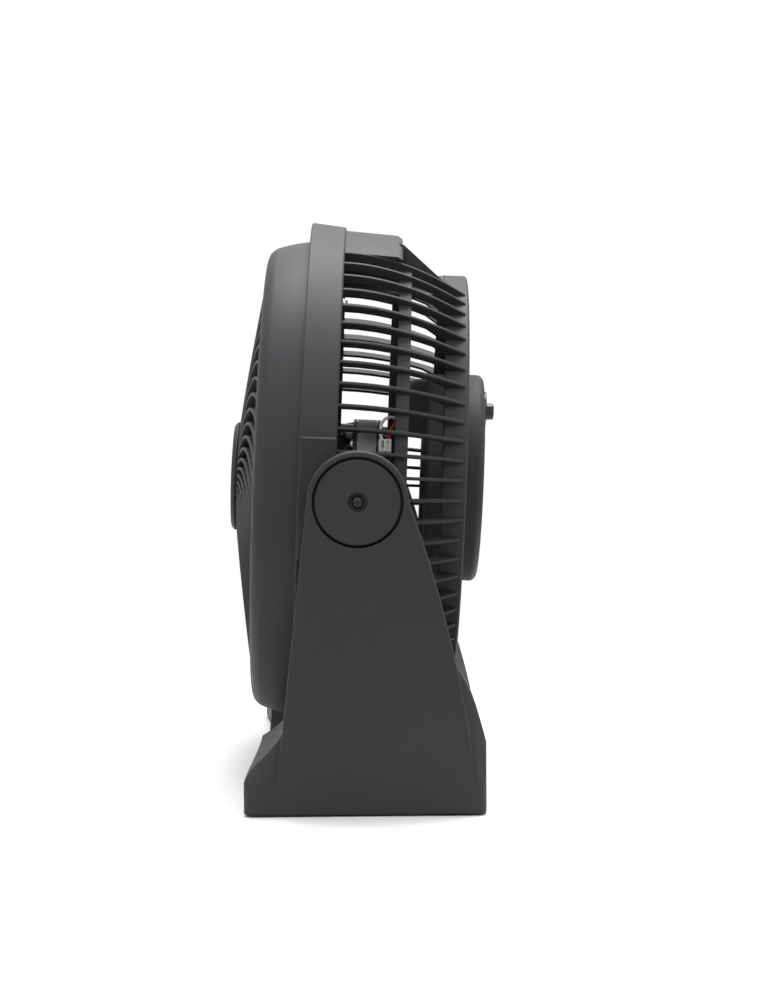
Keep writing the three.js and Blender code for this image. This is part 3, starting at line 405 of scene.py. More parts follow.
def moulded(name, colour, roughness, grain=0.035, cloud=0.16):
    """Spark-textured moulded plastic: a fine grain, and a faint cloudiness where the melt has flowed."""
    paint = Paint(name, specular_ior_level=0.24)
    at = paint.place()
    fine = paint.noise(at, 0.55, 3.0, 0.62)
    flow = paint.noise(at, 38.0, 3.0, 0.55)
    rubbed = paint.ramp(paint.noise(at, 9.0, 5.0, 0.7), 0.52, 0.72)
    dark = tuple(c * (1 - cloud) for c in colour)
    light = tuple(c * (1 + cloud) + 0.001 for c in colour)
    paint.set(base_color=paint.blend(flow * 0.75 + fine * 0.25, dark, light))
    paint.set(roughness=roughness - 0.045 + flow * 0.09 - rubbed * 0.03)
    paint.relief(fine, grain)
    return paint.material


def glossy(name, colour, roughness):
    """Polished plastic with faint handling marks."""
    paint = Paint(name, specular_ior_level=0.3, coat_weight=0.12, coat_roughness=0.05)
    at = paint.place()
    smear = paint.noise(at, 6.0, 4.0, 0.6)
    paint.set(base_color=paint.blend(smear, colour, tuple(c * 1.5 + 0.002 for c in colour)))
    paint.set(roughness=roughness + paint.ramp(smear, 0.45, 0.7) * 0.12)
    paint.relief(paint.noise(at, 14.0), 0.05)
    return paint.material


def soft_rubber(name, colour):
    """Matt rubber with a fine speck."""
    paint = Paint(name, specular_ior_level=0.3)
    at = paint.place()
    speck = paint.noise(at, 0.7, 4.0, 0.7)
    paint.set(base_color=paint.blend(speck, colour, tuple(c * 2.2 for c in colour)))
    paint.set(roughness=0.78 + speck * 0.15)
    paint.relief(speck, 0.05)
    return paint.material


def machined(name, colour, roughness, stretch=(1, 1, 1), line=0.5):
    """Metal with drawn or turned lines across it, and a few duller patches."""
    paint = Paint(name, metallic=1.0)
    at = paint.place(stretch, (REST_TILT, 0, 0))
    lines = paint.noise(at, line, 3.0, 0.65)
    patch = paint.noise(paint.place(), 7.0, 3.0, 0.6)
    paint.set(base_color=paint.blend(patch * 0.7 + lines * 0.3, tuple(c * 0.72 for c in colour), colour))
    paint.set(roughness=roughness + (lines - 0.5) * 0.22 + patch * 0.08)
    paint.relief(lines, 0.02)
    return paint.material


WAVES = 20 / math.tau  # waves to a metre in a wave texture of scale 1


def banded(name, colour, gap_colour, pitch, roughness, metallic, kind="BANDS"):
    """Sheets or wires side by side: bands across the fan axis, or rings about it."""
    paint = Paint(name, metallic=metallic)
    at = paint.place(turn=(REST_TILT, 0, 0))
    settings = {"wave_type": kind, "bands_direction": "Y", "rings_direction": "Y", "wave_profile": "SIN"}
    sockets = {"Vector": at, "Scale": 1000 / pitch / WAVES, "Distortion": 0.6, "Detail": 2.0}
    wave = Amount(paint, paint.node("ShaderNodeTexWave", settings, sockets).outputs["Fac"])
    patch = paint.noise(at, 6.0, 3.0, 0.6)
    paint.set(base_color=paint.blend(paint.ramp(wave, 0.05, 0.5), gap_colour, colour))
    paint.set(roughness=roughness + patch * 0.2 - wave * 0.06)
    paint.relief(wave, 0.12)
    return paint.material


MATERIALS = {
    "charcoal_plastic": moulded("charcoal_plastic", (0.0265, 0.027, 0.0305), 0.6),
    "grille_plastic": moulded("grille_plastic", (0.0275, 0.028, 0.032), 0.56, grain=0.02),
    "black_plastic": moulded("black_plastic", (0.007, 0.007, 0.008), 0.4, grain=0.02),
    "knob_plastic": glossy("knob_plastic", (0.009, 0.009, 0.010), 0.16),
    "rubber": soft_rubber("rubber", (0.012, 0.012, 0.012)),
    "nylon": moulded("nylon", (0.74, 0.72, 0.66), 0.44, grain=0.02, cloud=0.05),
    "red_insulation": moulded("red_insulation", (0.42, 0.018, 0.013), 0.38, grain=0.01, cloud=0.1),
    "film_wrap": moulded("film_wrap", (0.62, 0.65, 0.69), 0.28, grain=0.02, cloud=0.04),
    "steel": machined("steel", (0.62, 0.62, 0.61), 0.3, (1, 1, 6)),
    "dark_steel": machined("dark_steel", (0.045, 0.045, 0.048), 0.4, line=1.2),
    "copper_wire": banded("copper_wire", (0.52, 0.17, 0.06), (0.12, 0.03, 0.01), 0.9, 0.3, 0.9, "RINGS"),
    "bronze": machined("bronze", (0.42, 0.25, 0.1), 0.38, (1, 5, 1)),
}
LAMINATION = banded("stator_lamination", (0.46, 0.46, 0.47), (0.09, 0.085, 0.08), 0.5, 0.34, 0.95)


def finished(name, shapes, body, slot, nodes, place=HEAD, material=None, crease=50.0):
    """Makes a piece of its shapes, at its place, that stands for its nodes and rides on its body."""
    bm = gathered(shapes)
    bmesh.ops.transform(bm, matrix=place, verts=bm.verts)
    mesh = bpy.data.meshes.new(name)
    bm.to_mesh(mesh)
    bm.free()
    mesh.polygons.foreach_set("use_smooth", [True] * len(mesh.polygons))
    mesh.set_sharp_from_angle(angle=math.radians(crease))
    piece = bpy.data.objects.new(name, mesh)
    bpy.context.scene.collection.objects.link(piece)
    mesh.materials.append(material or MATERIALS[slot])
    piece.modifiers.new("even_shading", "WEIGHTED_NORMAL").keep_sharp = True
    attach(piece, body)
    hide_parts(*([nodes] if isinstance(nodes, str) else nodes))


# ------------------------------------------------------------------ rear guard

def fin_radius(y):
    """Radius of the outer edge of a cage fin at a depth."""
    along = max(0.0, (y - BAND["rear"]) / (FINS["end"] - BAND["rear"]))
    return FINS["outer"] - FINS["drop"] * along ** FINS["curve"]


FIN_START = BAND["rear"] - 1.5
FIN_TAIL = FINS["end"] - 1
RING_SEAT = REAR_RING["radius"] - REAR_RING["wall"] / 2
RING_FRONT = REAR_RING["front"] + LAP
POCKET_FLOOR = REAR_RING["radius"] - 0.5
UNDER_FLOOR = POCKET_FLOOR - HANDLE["floor_wall"]
BRACKET_SEATS = [(angle, UNDER_FLOOR - 4.5 if angle == 90 else MID_RING["inner"] - 1)
                 for angle in (0, 90, 180, 270)]


def guard_band():
    """The smooth band round the head, its inner flange and the pads at its sides."""
    b = BAND
    inner, flange = FRONT_RING - WALL - 0.5, b["rear"] - WALL
    rim = turned([
        (b["radius"], b["front"], 1.1), (b["rear_radius"], b["rear"], 1.6), (inner, b["rear"]),
        (inner, flange), (b["rear_radius"] - WALL, flange, 1.5), (b["radius"] - WALL, b["front"], 1.0)], 216)
    pads = [pivot_pad(), mirrored(pivot_pad())]
    finished("guard_band", [rim, *pads], "head", "charcoal_plastic", "rear_guard")


def pivot_pad():
    """The thick pad at one side of the band, with the boss that the arm holds."""
    p, root = PAD, BAND["rear"] - LAP
    half_disc = [(root, -p["radius"]), *arc((0, 0), p["radius"], -90, 90, 32), (root, p["radius"])]
    tall = block((FRONT_RING + 2.5, p["face"]), (BAND["front"] + 1, BAND["rear"]),
                 (-p["half_height"], p["half_height"]))
    round_end = prism(half_disc, p["inside"], p["face"], "X")
    boss = turned([(0, p["boss_root"]), (p["boss"], p["boss_root"]), (p["boss"], p["boss_end"], 0.6),
                   (0, p["boss_end"])], 64)
    return gathered([softened(tall, 1.2, 3), softened(round_end, 1.2, 3, 60), moved(boss, OUT_OF_SIDE[1])])


def fin():
    """One fin of the cage, drawn at +X: a plate of even depth that bows in towards its tail."""
    spans = 14
    stations = [FIN_START + (FIN_TAIL - FIN_START) * k / spans for k in range(spans + 1)]
    outline = [(fin_radius(y), y) for y in stations]
    outline += [(RING_SEAT, FIN_TAIL), (RING_SEAT, RING_FRONT)]
    outline += [(fin_radius(y) - FINS["depth"], y) for y in (46, 38, 30, 20, 8, -4, FIN_START)]
    half = FINS["thickness"] / 2
    return softened(prism(outline, -half, half, "Z"), 0.5, 2, 60)


def guard_fins():
    """The fins all round the cage but for its hand hold."""
    pitch = 360 / FINS["count"]
    free = HANDLE["half_angle"] - pitch / 2
    angles = [k * pitch for k in range(FINS["count"]) if abs(k * pitch - 90) > free]
    fins = [moved(fin(), about_axis(angle)) for angle in angles]
    finished("guard_fins", fins, "head", "charcoal_plastic", "rear_guard")


def guard_rings():
    """The ring inside the fins, the flanged ring at their tails and the seats of the motor's bracket."""
    m, r, half_angle = MID_RING, REAR_RING, HANDLE["half_angle"]
    middle = turned(oblong(m["inner"], m["outer"], m["front"], m["rear"], 0.6), 186,
                    sweep=360 - 2 * half_angle, start=90 + half_angle)
    inside, opening, step = r["radius"] - r["wall"], r["radius"] - r["flange"], r["rear"] - r["flange_wall"]
    back = turned([
        (r["radius"], r["front"], 0.8), (r["radius"], r["rear"], 1.8), (opening, r["rear"], 0.8),
        (opening, step, 0.8), (inside, step, 1.2), (inside, r["front"], 0.8)], 216)
    hole, edge = 1.7, 4
    profile = [(hole, m["front"]), (edge, m["front"], 0.4), (edge, m["rear"], 0.4), (hole, m["rear"])]
    seats = [turned(profile, 32, on_circle(radius, angle)) for angle, radius in BRACKET_SEATS if angle != 90]
    finished("guard_rings", [middle, back, *seats], "head", "charcoal_plastic", "rear_guard")


def arch(profile, steps, edge, sharper_than=60):
    """A profile of (radius, y) corners that spans the hand hold, its edges rounded."""
    half_angle = HANDLE["half_angle"]
    shape = turned(profile, steps, sweep=2 * half_angle, start=90 - half_angle)
    return softened(shape, edge, 3, sharper_than)


def hold_wall():
    """The wall that closes one end of the hand hold."""
    h = HANDLE
    middle = h["side_x"] + WALL / 2
    low = math.sqrt((POCKET_FLOOR - h["floor_wall"] / 2) ** 2 - middle ** 2)
    high = math.sqrt((FINS["outer"] - h["plate_wall"] / 2) ** 2 - middle ** 2)
    side = rounded([(FIN_START, low), (FIN_START, high), (h["plate_rear"], high, 4.0),
                    (RING_FRONT, low + 3.5, 2.5), (RING_FRONT, low)])
    return softened(prism(side, h["side_x"], h["side_x"] + WALL, "X"), 0.5, 2, 60)


def hand_hold():
    """The bridge over the top of the cage, its floor, two end walls and a front wall."""
    top, end, back = FINS["outer"], HANDLE["plate_rear"], BAND["rear"]
    under = top - HANDLE["plate_wall"]
    bridge = arch([(under, FIN_START), (top, FIN_START), (top - 2.2, end - 3.4), (under + 0.6, end),
                   (under, end)], 40, 1.3, 30)
    floor = arch(oblong(UNDER_FLOOR, POCKET_FLOOR, FIN_START, RING_FRONT), 30, 0.5)
    front = arch(oblong(UNDER_FLOOR, FRONT_RING - WALL, back - WALL, back), 30, 0.3)
    half, seat = 5, (UNDER_FLOOR - 9, UNDER_FLOOR + LAP)
    lug = softened(block((-half, half), (MID_RING["front"], MID_RING["rear"]), seat), 0.5)
    shapes = [bridge, floor, front, hold_wall(), mirrored(hold_wall()), lug]
    finished("guard_hand_hold", shapes, "head", "charcoal_plastic", "hand_hold")


def dish_reach(radius, degrees):
    """Where a ray from the fan axis leaves a circle round the middle of the dish."""
    rise = DISH["rise"] * math.sin(math.radians(degrees))
    return rise + math.sqrt(radius ** 2 - DISH["rise"] ** 2 + rise ** 2)


def cover_screw_places(y):
    return [on_circle(COVER_SCREWS["circle"], a, y, DISH["rise"]) for a in COVER_SCREWS["angles"]]


def rear_dish():
    """The dish that holds the controls, the box for the switch and the ribs that carry them."""
    d, box, r = DISH, SWITCH_BOX, REAR_RING
    inside, floor = d["radius"] - d["wall"], d["front"] + d["wall"]
    pan = turned([(0, d["front"]), (d["radius"], d["front"], 3.0), (d["radius"], r["rear"], 0.5),
                  (inside, r["rear"], 0.5), (inside, floor, 1.5), (0, floor)], 120, (0, 0, d["rise"]))
    side = rounded([(floor, box["bottom"]), (box["front"], box["bottom"], box["corner"]),
                    (box["front"], box["top"], box["corner"]), (floor, box["top"])])
    shell = softened(prism(side, -box["half_width"], box["half_width"], "X"), 1.0, 3, 60)
    ribs = []
    top, end, half = r["rear"] - 0.4, r["radius"] - r["flange"] + 1.5, REAR_RIBS["thickness"] / 2
    for k in range(REAR_RIBS["count"]):
        angle = 360 * k / REAR_RIBS["count"]
        start = dish_reach(d["radius"] - 1.2, angle)
        rib = softened(block((start, end), (top - REAR_RIBS["depth"], top), (-half, half)), 0.5, 2)
        ribs.append(moved(rib, about_axis(angle)))
    root, post = d["front"] + LAP, 4.5
    bosses = [turned([(0, root), (post, root), (post, d["boss_rear"], 0.4), (0, d["boss_rear"])], 32, place)
              for place in cover_screw_places(0)]
    finished("guard_dish", [pan, shell, *ribs, *bosses], "head", "charcoal_plastic", "rear_guard")


# ------------------------------------------------------------------ front grille

def grille_dome(r):
    """Front face of the grille's ribs at a radius."""
    g = GRILLE
    return g["lip"] + 0.4 - g["rise"] * (1 - min(1.0, r / g["opening"]) ** g["curve"])


GRILLE_SEAT = BAND["rear"] - WALL - GAP
RIB_ROOT = HUB["radius"] - LAP


def swirl_turn(r):
    """How far a grille rib has turned, in degrees, from the hub out to a radius."""
    count = 24
    step = (r - RIB_ROOT) / count
    lean = math.radians(GRILLE["lean"]) / (GRILLE["opening"] - RIB_ROOT)
    middles = [(k + 0.5) * step for k in range(count)]
    return math.degrees(sum(math.tan(lean * out) / (RIB_ROOT + out) for out in middles) * step)


def swirl_rib():
    """One rib of the grille, drawn from +X: a thin blade on edge that leans as it runs out."""
    g, end = GRILLE, GRILLE["opening"] + 3
    shallow, shallow_from = WALL - 0.9, 0.93

    def place(u, v):
        r = RIB_ROOT + (end - RIB_ROOT) * u
        thinning = max(0.0, (u - shallow_from) / (1 - shallow_from))
        depth = g["depth"] - (g["depth"] - shallow) * thinning
        return on_circle(r, -swirl_turn(r), grille_dome(r) + depth * v)

    return softened(sheet_of(place, 20, 1, g["thickness"] * 0.86), 0.45, 2, 60)


def grille_shell():
    """The smooth ring round the grille, from its seat in the band to the lip of its opening."""
    r, inner, lip, opening = FRONT_RING, FRONT_RING - WALL, GRILLE["lip"], GRILLE["opening"]
    outside = smooth_line([
        (r, GRILLE_SEAT + 1), (r, -30), (r - 0.1, BAND["front"]), (r - 1.9, lip + 19.6),
        (r - 4.6, lip + 9.6), (r - 6.4, lip + 5.4), (r - 9.3, lip + 2.2), (r - 13.2, lip + 0.5),
        (r - 17.5, lip), (opening + 1.2, lip)])
    inside = smooth_line([
        (opening + 1.5, lip + WALL), (r - 14, lip + 4.4), (r - 9.5, lip + 8), (r - 6.5, lip + 15),
        (inner - 1, -40), (inner, -28), (inner, GRILLE_SEAT + 1)])
    return turned([(r, GRILLE_SEAT, 0.4), *outside, (opening, lip + 0.5), (opening, lip + WALL - 0.5),
                   *inside, (inner, GRILLE_SEAT, 0.4)], 216)


def grille_hub():
    """The shallow cup in the middle of the grille that the ribs run out from."""
    h = HUB
    inside, rear, floor = h["radius"] - h["wall"], h["front"] + h["depth"], h["front"] + h["wall"]
    return turned([(0, h["front"]), (h["radius"], h["front"], 0.8), (h["radius"], rear, 0.5),
                   (inside, rear, 0.5), (inside, floor, 0.8), (0, floor)], 120)


def front_grille():
    """The grille's ring, hub, ribs and screw bosses, one moulding."""
    ribs = [moved(swirl_rib(), about_axis(360 * k / GRILLE["ribs"])) for k in range(GRILLE["ribs"])]
    front, edge = GRILLE_SEAT - 16, 4
    profile = [(0, front), (edge, front, 0.5), (edge, GRILLE_SEAT, 0.4), (0, GRILLE_SEAT)]
    bosses = [turned(profile, 32, on_circle(GRILLE_SCREWS["circle"], a)) for a in GRILLE_SCREWS["angles"]]
    shapes = [grille_shell(), grille_hub(), *ribs, *bosses]
    finished("front_grille_moulding", shapes, "head", "grille_plastic", "front_grille")


def front_badge():
    """The plain round plate on the hub, faintly domed."""
    rear = HUB["front"] - GAP
    front, r = rear - BADGE["thickness"], HUB["radius"]
    dome = turned([(0, front), (r * 0.6, front + 0.4, 40.0), (r - BADGE["edge"], front + 1.2, 3.0),
                   (r, front + BADGE["edge"] + 0.7, 1.2), (r, rear, 0.3), (0, rear)], 144)
    finished("blank_badge", [dome], "head", "charcoal_plastic", "front_badge")


# ------------------------------------------------------------------ fixings

def cross_screw(head, height, shank, length, steps=48):
    """A pan-head screw along Y: its head is at negative y and the face under it at 0."""
    body = turned([
        (0, -height), (head * 0.55, -height * 0.97, head), (head * 0.93, -height * 0.45, head * 0.5),
        (head, 0, 0.15), (shank, 0), (shank, length, 0.4), (0, length)], steps)
    reach, half = 0.58 * head, 0.13 * head
    corners = [(reach, half), (half, half), (half, reach)]
    for _ in range(3):
        corners += [(-z, x) for x, z in corners[-3:]]
    return carved(body, prism(corners, -height - OVERRUN, -0.35 * height, "Y"))


def pivot_fixings():
    """The disc that closes the end of each arm, and the screw through it."""
    c, hole = CAP, 2.2
    inner, outer, floor = c["seat_x"] + GAP, c["face"], c["face"] - c["sink"]
    profile = [(hole, inner), (c["radius"], inner, 0.5), (c["radius"], outer, 1.3),
               (c["recess"] + 0.9, outer, 0.5), (c["recess"], outer - 0.5, 0.4), (c["recess"], floor, 0.3),
               (hole, floor)]
    for side, s in (("right", 1), ("left", -1)):
        cap = moved(turned(profile, 128), OUT_OF_SIDE[s])
        finished(f"arm_cap_{side}", [cap], "head", "charcoal_plastic", f"pivot_cap_{side}")
        turn = Matrix.Translation((s * (floor + GAP), 0, 0)) @ Matrix.Rotation(s * math.pi / 2, 4, "Z")
        screw = moved(cross_screw(4, 2.4, 1.9, 16), turn)
        finished(f"arm_screw_{side}", [screw], "head", "dark_steel", f"pivot_screw_{side}")


def small_screws():
    """The screws of the grille, the bracket, the motor and the rear cover."""
    bolt_head = MOTOR["stack_front"] - 2 * GAP - MOTOR["bell_wall"]
    bolt_length = PLATE["rear"] - 0.6 - bolt_head
    sets = [
        ("grille_screw", (3.2, 2.2, 1.6, 12), TO_REAR,
         [on_circle(GRILLE_SCREWS["circle"], a, BAND["rear"] + GAP) for a in GRILLE_SCREWS["angles"]]),
        ("bracket_screw", (3, 2, 1.4, 9), Matrix(),
         [on_circle(radius, a, PLATE["front"] - GAP) for a, radius in BRACKET_SEATS]),
        ("cover_screw", (3.4, 2.2, 1.6, 23.5), TO_REAR,
         cover_screw_places(COVER["rear"] - COVER_SCREWS["sink"] + GAP)),
        ("motor_bolt", (3.3, 2.2, 1.7, bolt_length), Matrix(),
         [on_circle(BOLTS["circle"], a, bolt_head) for a in BOLTS["angles"]]),
    ]
    for name, sizes, turn, places in sets:
        for k, place in enumerate(places, 1):
            screw = moved(cross_screw(*sizes, 32), Matrix.Translation(place) @ turn)
            finished(f"{name}_head_{k}", [screw], "head", "steel", f"{name}_{k}")


# ------------------------------------------------------------------ motor

def end_bell(end, seat):
    """A pressed bell, from the bearing at its end to the rim that sits against the laminations."""
    m, w = MOTOR, MOTOR["bell_wall"]
    s = 1 if seat > end else -1
    face, bore, shoulder = seat - s * GAP, m["bearing"] + GAP, end + s * 1.2
    return turned([
        (bore, end, 0.4), (m["bell"] * 0.45, end, 3.0), (m["bell"] * 0.55, shoulder, 3.0),
        (m["bell"], shoulder, 3.2), (m["bell"], face - s * w, 1.0), (m["radius"], face - s * w, 0.5),
        (m["radius"], face, 0.3), (m["bell"] - w, face, 0.3), (m["bell"] - w, end + s * (w + 1.2), 1.0),
        (bore, end + s * w, 0.3)], 96)


def motor():
    """The two bells with their vents, and the laminations between them."""
    m = MOTOR
    bells = {"motor_front_bell": (m["front"], m["stack_front"]),
             "motor_rear_bell": (m["rear"], m["stack_rear"])}
    pitch = 360 / m["vents"]
    for node, (end, seat) in bells.items():
        low, high = sorted((end, seat))
        vents = []
        for k in range(m["vents"]):
            vent = block((m["bell"] - 6, m["bell"] + 4), (low + 4.0, high - 4.2), (-4.5, 4.5))
            vents.append(moved(softened(vent, 0.9, 2), about_axis(pitch * (k + 0.5))))
        bell = carved(end_bell(end, seat), gathered(vents))
        finished(f"{node}_pressing", [bell], "head", "dark_steel", node)
    bore, front, rear = m["stack_bore"], m["stack_front"], m["stack_rear"]
    stack = turned([(bore, front, 0.2), (m["radius"], front, 0.3), (m["radius"], rear, 0.3),
                    (bore, rear, 0.2)], 128)
    slots = [moved(block((19.9, 31.1), (front - OVERRUN, rear + OVERRUN), (-5.5, 5.5)), about_axis(angle))
             for angle in (0, 90, 180, 270)]
    stack = carved(stack, *slots)
    finished("stator_laminations", [stack], "head", "steel", "stator_stack", material=LAMINATION)


def motor_bracket():
    """A plate across the cage that carries the motor, with a web behind each arm."""
    p, bore, edge = PLATE, PLATE["boss_bore"], PLATE["boss"]
    hub = turned([(p["bore"], p["front"], 0.4), (p["hub"], p["front"], 0.5), (p["hub"], p["rear"], 0.5),
                  (p["bore"], p["rear"], 0.4)], 96)
    tip, root = MOTOR["stack_rear"] + GAP + MOTOR["bell_wall"] + GAP, p["front"] + LAP
    shapes = [hub]
    for angle in BOLTS["angles"]:
        shapes.append(turned([(bore, tip), (edge, tip, 0.3), (edge, root), (bore, root)], 32,
                             on_circle(BOLTS["circle"], angle)))
    start, half, half_web = 30, p["arm_width"] / 2, p["web"] / 2
    for angle, radius in BRACKET_SEATS:
        end = radius + (4 if angle == 90 else 4.5)
        arm = prism(rounded([(start, -half), (end, -half, 3.0), (end, half, 3.0), (start, half)]),
                    p["front"], p["rear"], "Y")
        web = block((12, radius - 6), (p["rear"] - 0.5, p["web_rear"]), (-half_web, half_web))
        shapes += [moved(softened(arm, 0.5), about_axis(angle)), moved(softened(web, 0.6), about_axis(angle))]
    finished("motor_bracket_casting", shapes, "head", "black_plastic", "motor_bracket")


def tube(points, radius):
    """A round lead along a smooth line through its points."""
    curve = bpy.data.curves.new("lead", "CURVE")
    curve.dimensions, curve.bevel_depth, curve.bevel_resolution = "3D", radius, 4
    curve.use_fill_caps = True
    line = curve.splines.new("BEZIER")
    line.resolution_u = 10
    line.bezier_points.add(len(points) - 1)
    for knot, point in zip(line.bezier_points, points):
        knot.co = point
        knot.handle_left_type = knot.handle_right_type = "AUTO"
    holder = bpy.data.objects.new("lead", curve)
    bpy.context.scene.collection.objects.link(holder)
    bpy.context.view_layer.update()
    mesh = bpy.data.meshes.new_from_object(holder.evaluated_get(bpy.context.evaluated_depsgraph_get()))
    bm = bmesh.new()
    bm.from_mesh(mesh)
    bpy.data.objects.remove(holder)
    bpy.data.curves.remove(curve)
    bpy.data.meshes.remove(mesh)
    return closed(bm)


def connector():
    """The connector on the motor bracket: two sockets, and a latch on its side."""
    c, edge = CONNECTOR, MOTOR["radius"] + GAP
    end, half = edge + c["length"], c["width"] / 2
    front, rear = PLATE["rear"] - c["depth"], PLATE["rear"]
    body = softened(block((edge, end), (front, rear), (-half, half)), 0.5)
    sockets = [block((end - 2, end + OVERRUN), (y, y + 1.6), (-3.4, 3.4)) for y in (front + 2, front + 5.5)]
    latch = softened(block((edge + 2, end - 2), (front + 1.5, front + 4), (-half - 0.9, half - 1)), 0.3)
    shapes = [moved(shape, about_axis(c["angle"])) for shape in (carved(body, *sockets), latch)]
    finished("connector_housing", shapes, "head", "nylon", "lead_connector")


def leads():
    """The red and the light lead, from the connector into the switch's box."""
    c, front, hole = CONNECTOR, SWITCH_BOX["front"], SWITCH_BOX["bottom"] + 10
    out, up = MOTOR["radius"] + GAP + c["length"] / 2, c["width"] / 2 + 0.6
    start = on_circle(out, c["angle"]) + on_circle(up, c["angle"] + 90)
    x, y, z = start.x, PLATE["rear"] - c["depth"], start.z
    bend = on_circle(54.2, 57.8)
    routes = {
        "red": [(x, y + 7, z), (x - 3.5, y + 8, z + 6.5), (27, front - 9, hole - 0.5),
                (18.5, front - 3.5, hole + 1.5), (15.2, front + 0.5, hole + 1.2),
                (15, front + 4, hole + 1.2)],
        "white": [(x, y + 2.5, z), (x - 3, y + 1, z + 6.5), (bend.x, front - 17, bend.z),
                  (19, front - 8, hole + 2.5), (12.9, front - 0.5, hole - 1.5),
                  (12.6, front + 4, hole - 1.5)],
    }
    insulation = {"red": "red_insulation", "white": "nylon"}
    for colour, points in routes.items():
        lead = tube(points, LEAD_RADIUS)
        finished(f"{colour}_lead", [lead], "head", insulation[colour], f"lead_{colour}")


# ------------------------------------------------------------------ fan wheel

def fan_blade():
    """One blade, drawn from +X: wide and flat at its rounded tip, narrow and steep at its root."""
    w, b = WHEEL, BLADE
    middle, root = (w["front"] + w["rear"]) / 2, w["hub"] - 1.5
    rounding = 0.14

    def place(u, v):
        r = root + u * (w["tip"] - root)
        pitch = math.radians(b["root_pitch"] + (b["tip_pitch"] - b["root_pitch"]) * u)
        chord = b["root_chord"] + (b["tip_chord"] - b["root_chord"]) * u
        corner = max(0.0, (u - 1 + rounding) / rounding)
        s = (v - 0.5) * (1 - rounding * (1 - math.sqrt(max(0.0, 1 - corner ** 2))))
        turn = math.degrees(b["sweep"] * u + s * chord * math.cos(pitch) / r)
        return on_circle(r, turn, middle + s * chord * math.sin(pitch) - b["camber"] * (1 - (2 * s) ** 2))

    return softened(sheet_of(place, 22, 18, b["thickness"]), 0.7, 2, 60)


def fan_wheel():
    """The hub, like a cup with a boss inside it, and the blades round it."""
    w, r, bore = WHEEL, WHEEL["hub"], WHEEL["bore"]
    front, rear, floor, boss_rear = w["front"], w["rear"], w["front"] + WALL, w["rear"] - 3
    hub = turned([
        (bore, front, 0.3), (r - 8, front, 12.0), (r - 2, front + 3, 3.0), (r, front + 9, 6.0),
        (r, rear, 0.6), (r - WALL, rear, 0.6), (r - WALL, front + 10, 4.0), (r - 9, floor, 2.0),
        (w["boss"], floor, 1.0), (w["boss"], boss_rear, 0.5), (bore, boss_rear, 0.3)], 96)
    pitch = 360 / w["blades"]
    blades = [moved(fan_blade(), about_axis(w["first_blade"] + pitch * k)) for k in range(w["blades"])]
    finished("fan_wheel_moulding", [hub, *blades], "fan", "black_plastic", "fan_wheel")


def spinner():
    """The fluted nut in front of the wheel, and the shaft that it holds."""
    n, bore, rear = NUT, WHEEL["bore"], WHEEL["front"] - GAP
    front, radius, floor = n["front"], n["radius"], n["floor"]
    nut = turned([
        (0, front), (4.5, front + 0.1, 6.0), (7.2, front + 1, 3.0), (radius, front + 4.5, 2.0),
        (radius, rear, 0.4), (bore, rear), (bore, floor), (0, floor)], 64)
    cutter = oblong(0, n["flute"], front - OVERRUN, WHEEL["front"] + OVERRUN)
    flutes = [moved(turned(cutter, 16, (radius + 0.6, 0, 0)), about_axis(360 * k / n["flutes"]))
              for k in range(n["flutes"])]
    finished("spinner_nut", [carved(nut, *flutes)], "fan", "black_plastic", "blade_nut")
    front, radius, end = SHAFT["front"], SHAFT["radius"], MOTOR["rear"] - 0.5
    rod = turned([(0, front), (radius, front, 0.8), (radius, end, 0.6), (0, end)], 48)
    finished("shaft_rod", [rod], "fan", "steel", "motor_shaft")


# ------------------------------------------------------------------ rear cover and controls

def rear_cover():
    """The cover over the dish: its shell, screw wells, vents and the dots of the dial."""
    c, screws, centre = COVER, COVER_SCREWS, (0, 0, DISH["rise"])
    inside, under = c["radius"] - c["wall"], c["rear"] - c["wall"]
    well, floor, outside = screws["well"], c["rear"] - screws["sink"], c["rear"] + OVERRUN
    shell = turned([
        (c["radius"], c["front"], 0.4), (c["radius"], c["rear"], 5.0), (0, c["rear"]), (0, under),
        (inside, under, 3.0), (inside, c["front"], 0.4)], 144, centre)
    tip, bore, post = DISH["boss_rear"] + GAP, screws["bore"], screws["post"]
    post_profile = [(bore, tip), (post, tip, 0.3), (post, under + 0.5), (bore, under + 0.5)]
    cup_profile = oblong(well, screws["cup"], floor - 0.1, under + 0.3)
    places = cover_screw_places(0)
    posts = [turned(post_profile, 32, place) for place in places]
    cups = [turned(cup_profile, 40, place) for place in places]
    wells = [turned(oblong(0, well, floor, outside), 40, place) for place in places]
    bores = [turned(oblong(0, r, c["rear"] - 6, outside), 48, (0, 0, z))
             for r, z in ((KNOB["bush"], KNOB["z"]), (INLET["radius"] - 1.2, INLET["z"]))]
    vents = []
    for k in range(-4, 5):
        vent = softened(block((-1.6, 1.6), (c["vent_rear"] - 3.2, c["vent_rear"]), (-90, -62)), 0.4)
        vents.append(moved(vent, Matrix.Translation(centre) @ about_axis(8 * k)))
    body = carved(shell, *wells, *bores, gathered(vents))
    finished("rear_cover_moulding", [body, *posts, *cups, *dial_dots()], "head", "charcoal_plastic",
             "rear_cover")


def dial_dots():
    """Raised dots beside the knob, each larger than the one before."""
    rear, centre = COVER["rear"], Vector((0, 0, KNOB["z"]))
    dots = []
    for k in range(DIAL["dots"]):
        more = 0.25 * k
        profile = [(0, rear - 0.6), (1.1 + more, rear - 0.6), (0.9 + more, rear - 0.05, 0.3), (0, rear)]
        place = centre + on_circle(KNOB["skirt"] + DIAL["out"], DIAL["angle"] * k)
        dots.append(turned(profile, 24, place))
    return dots


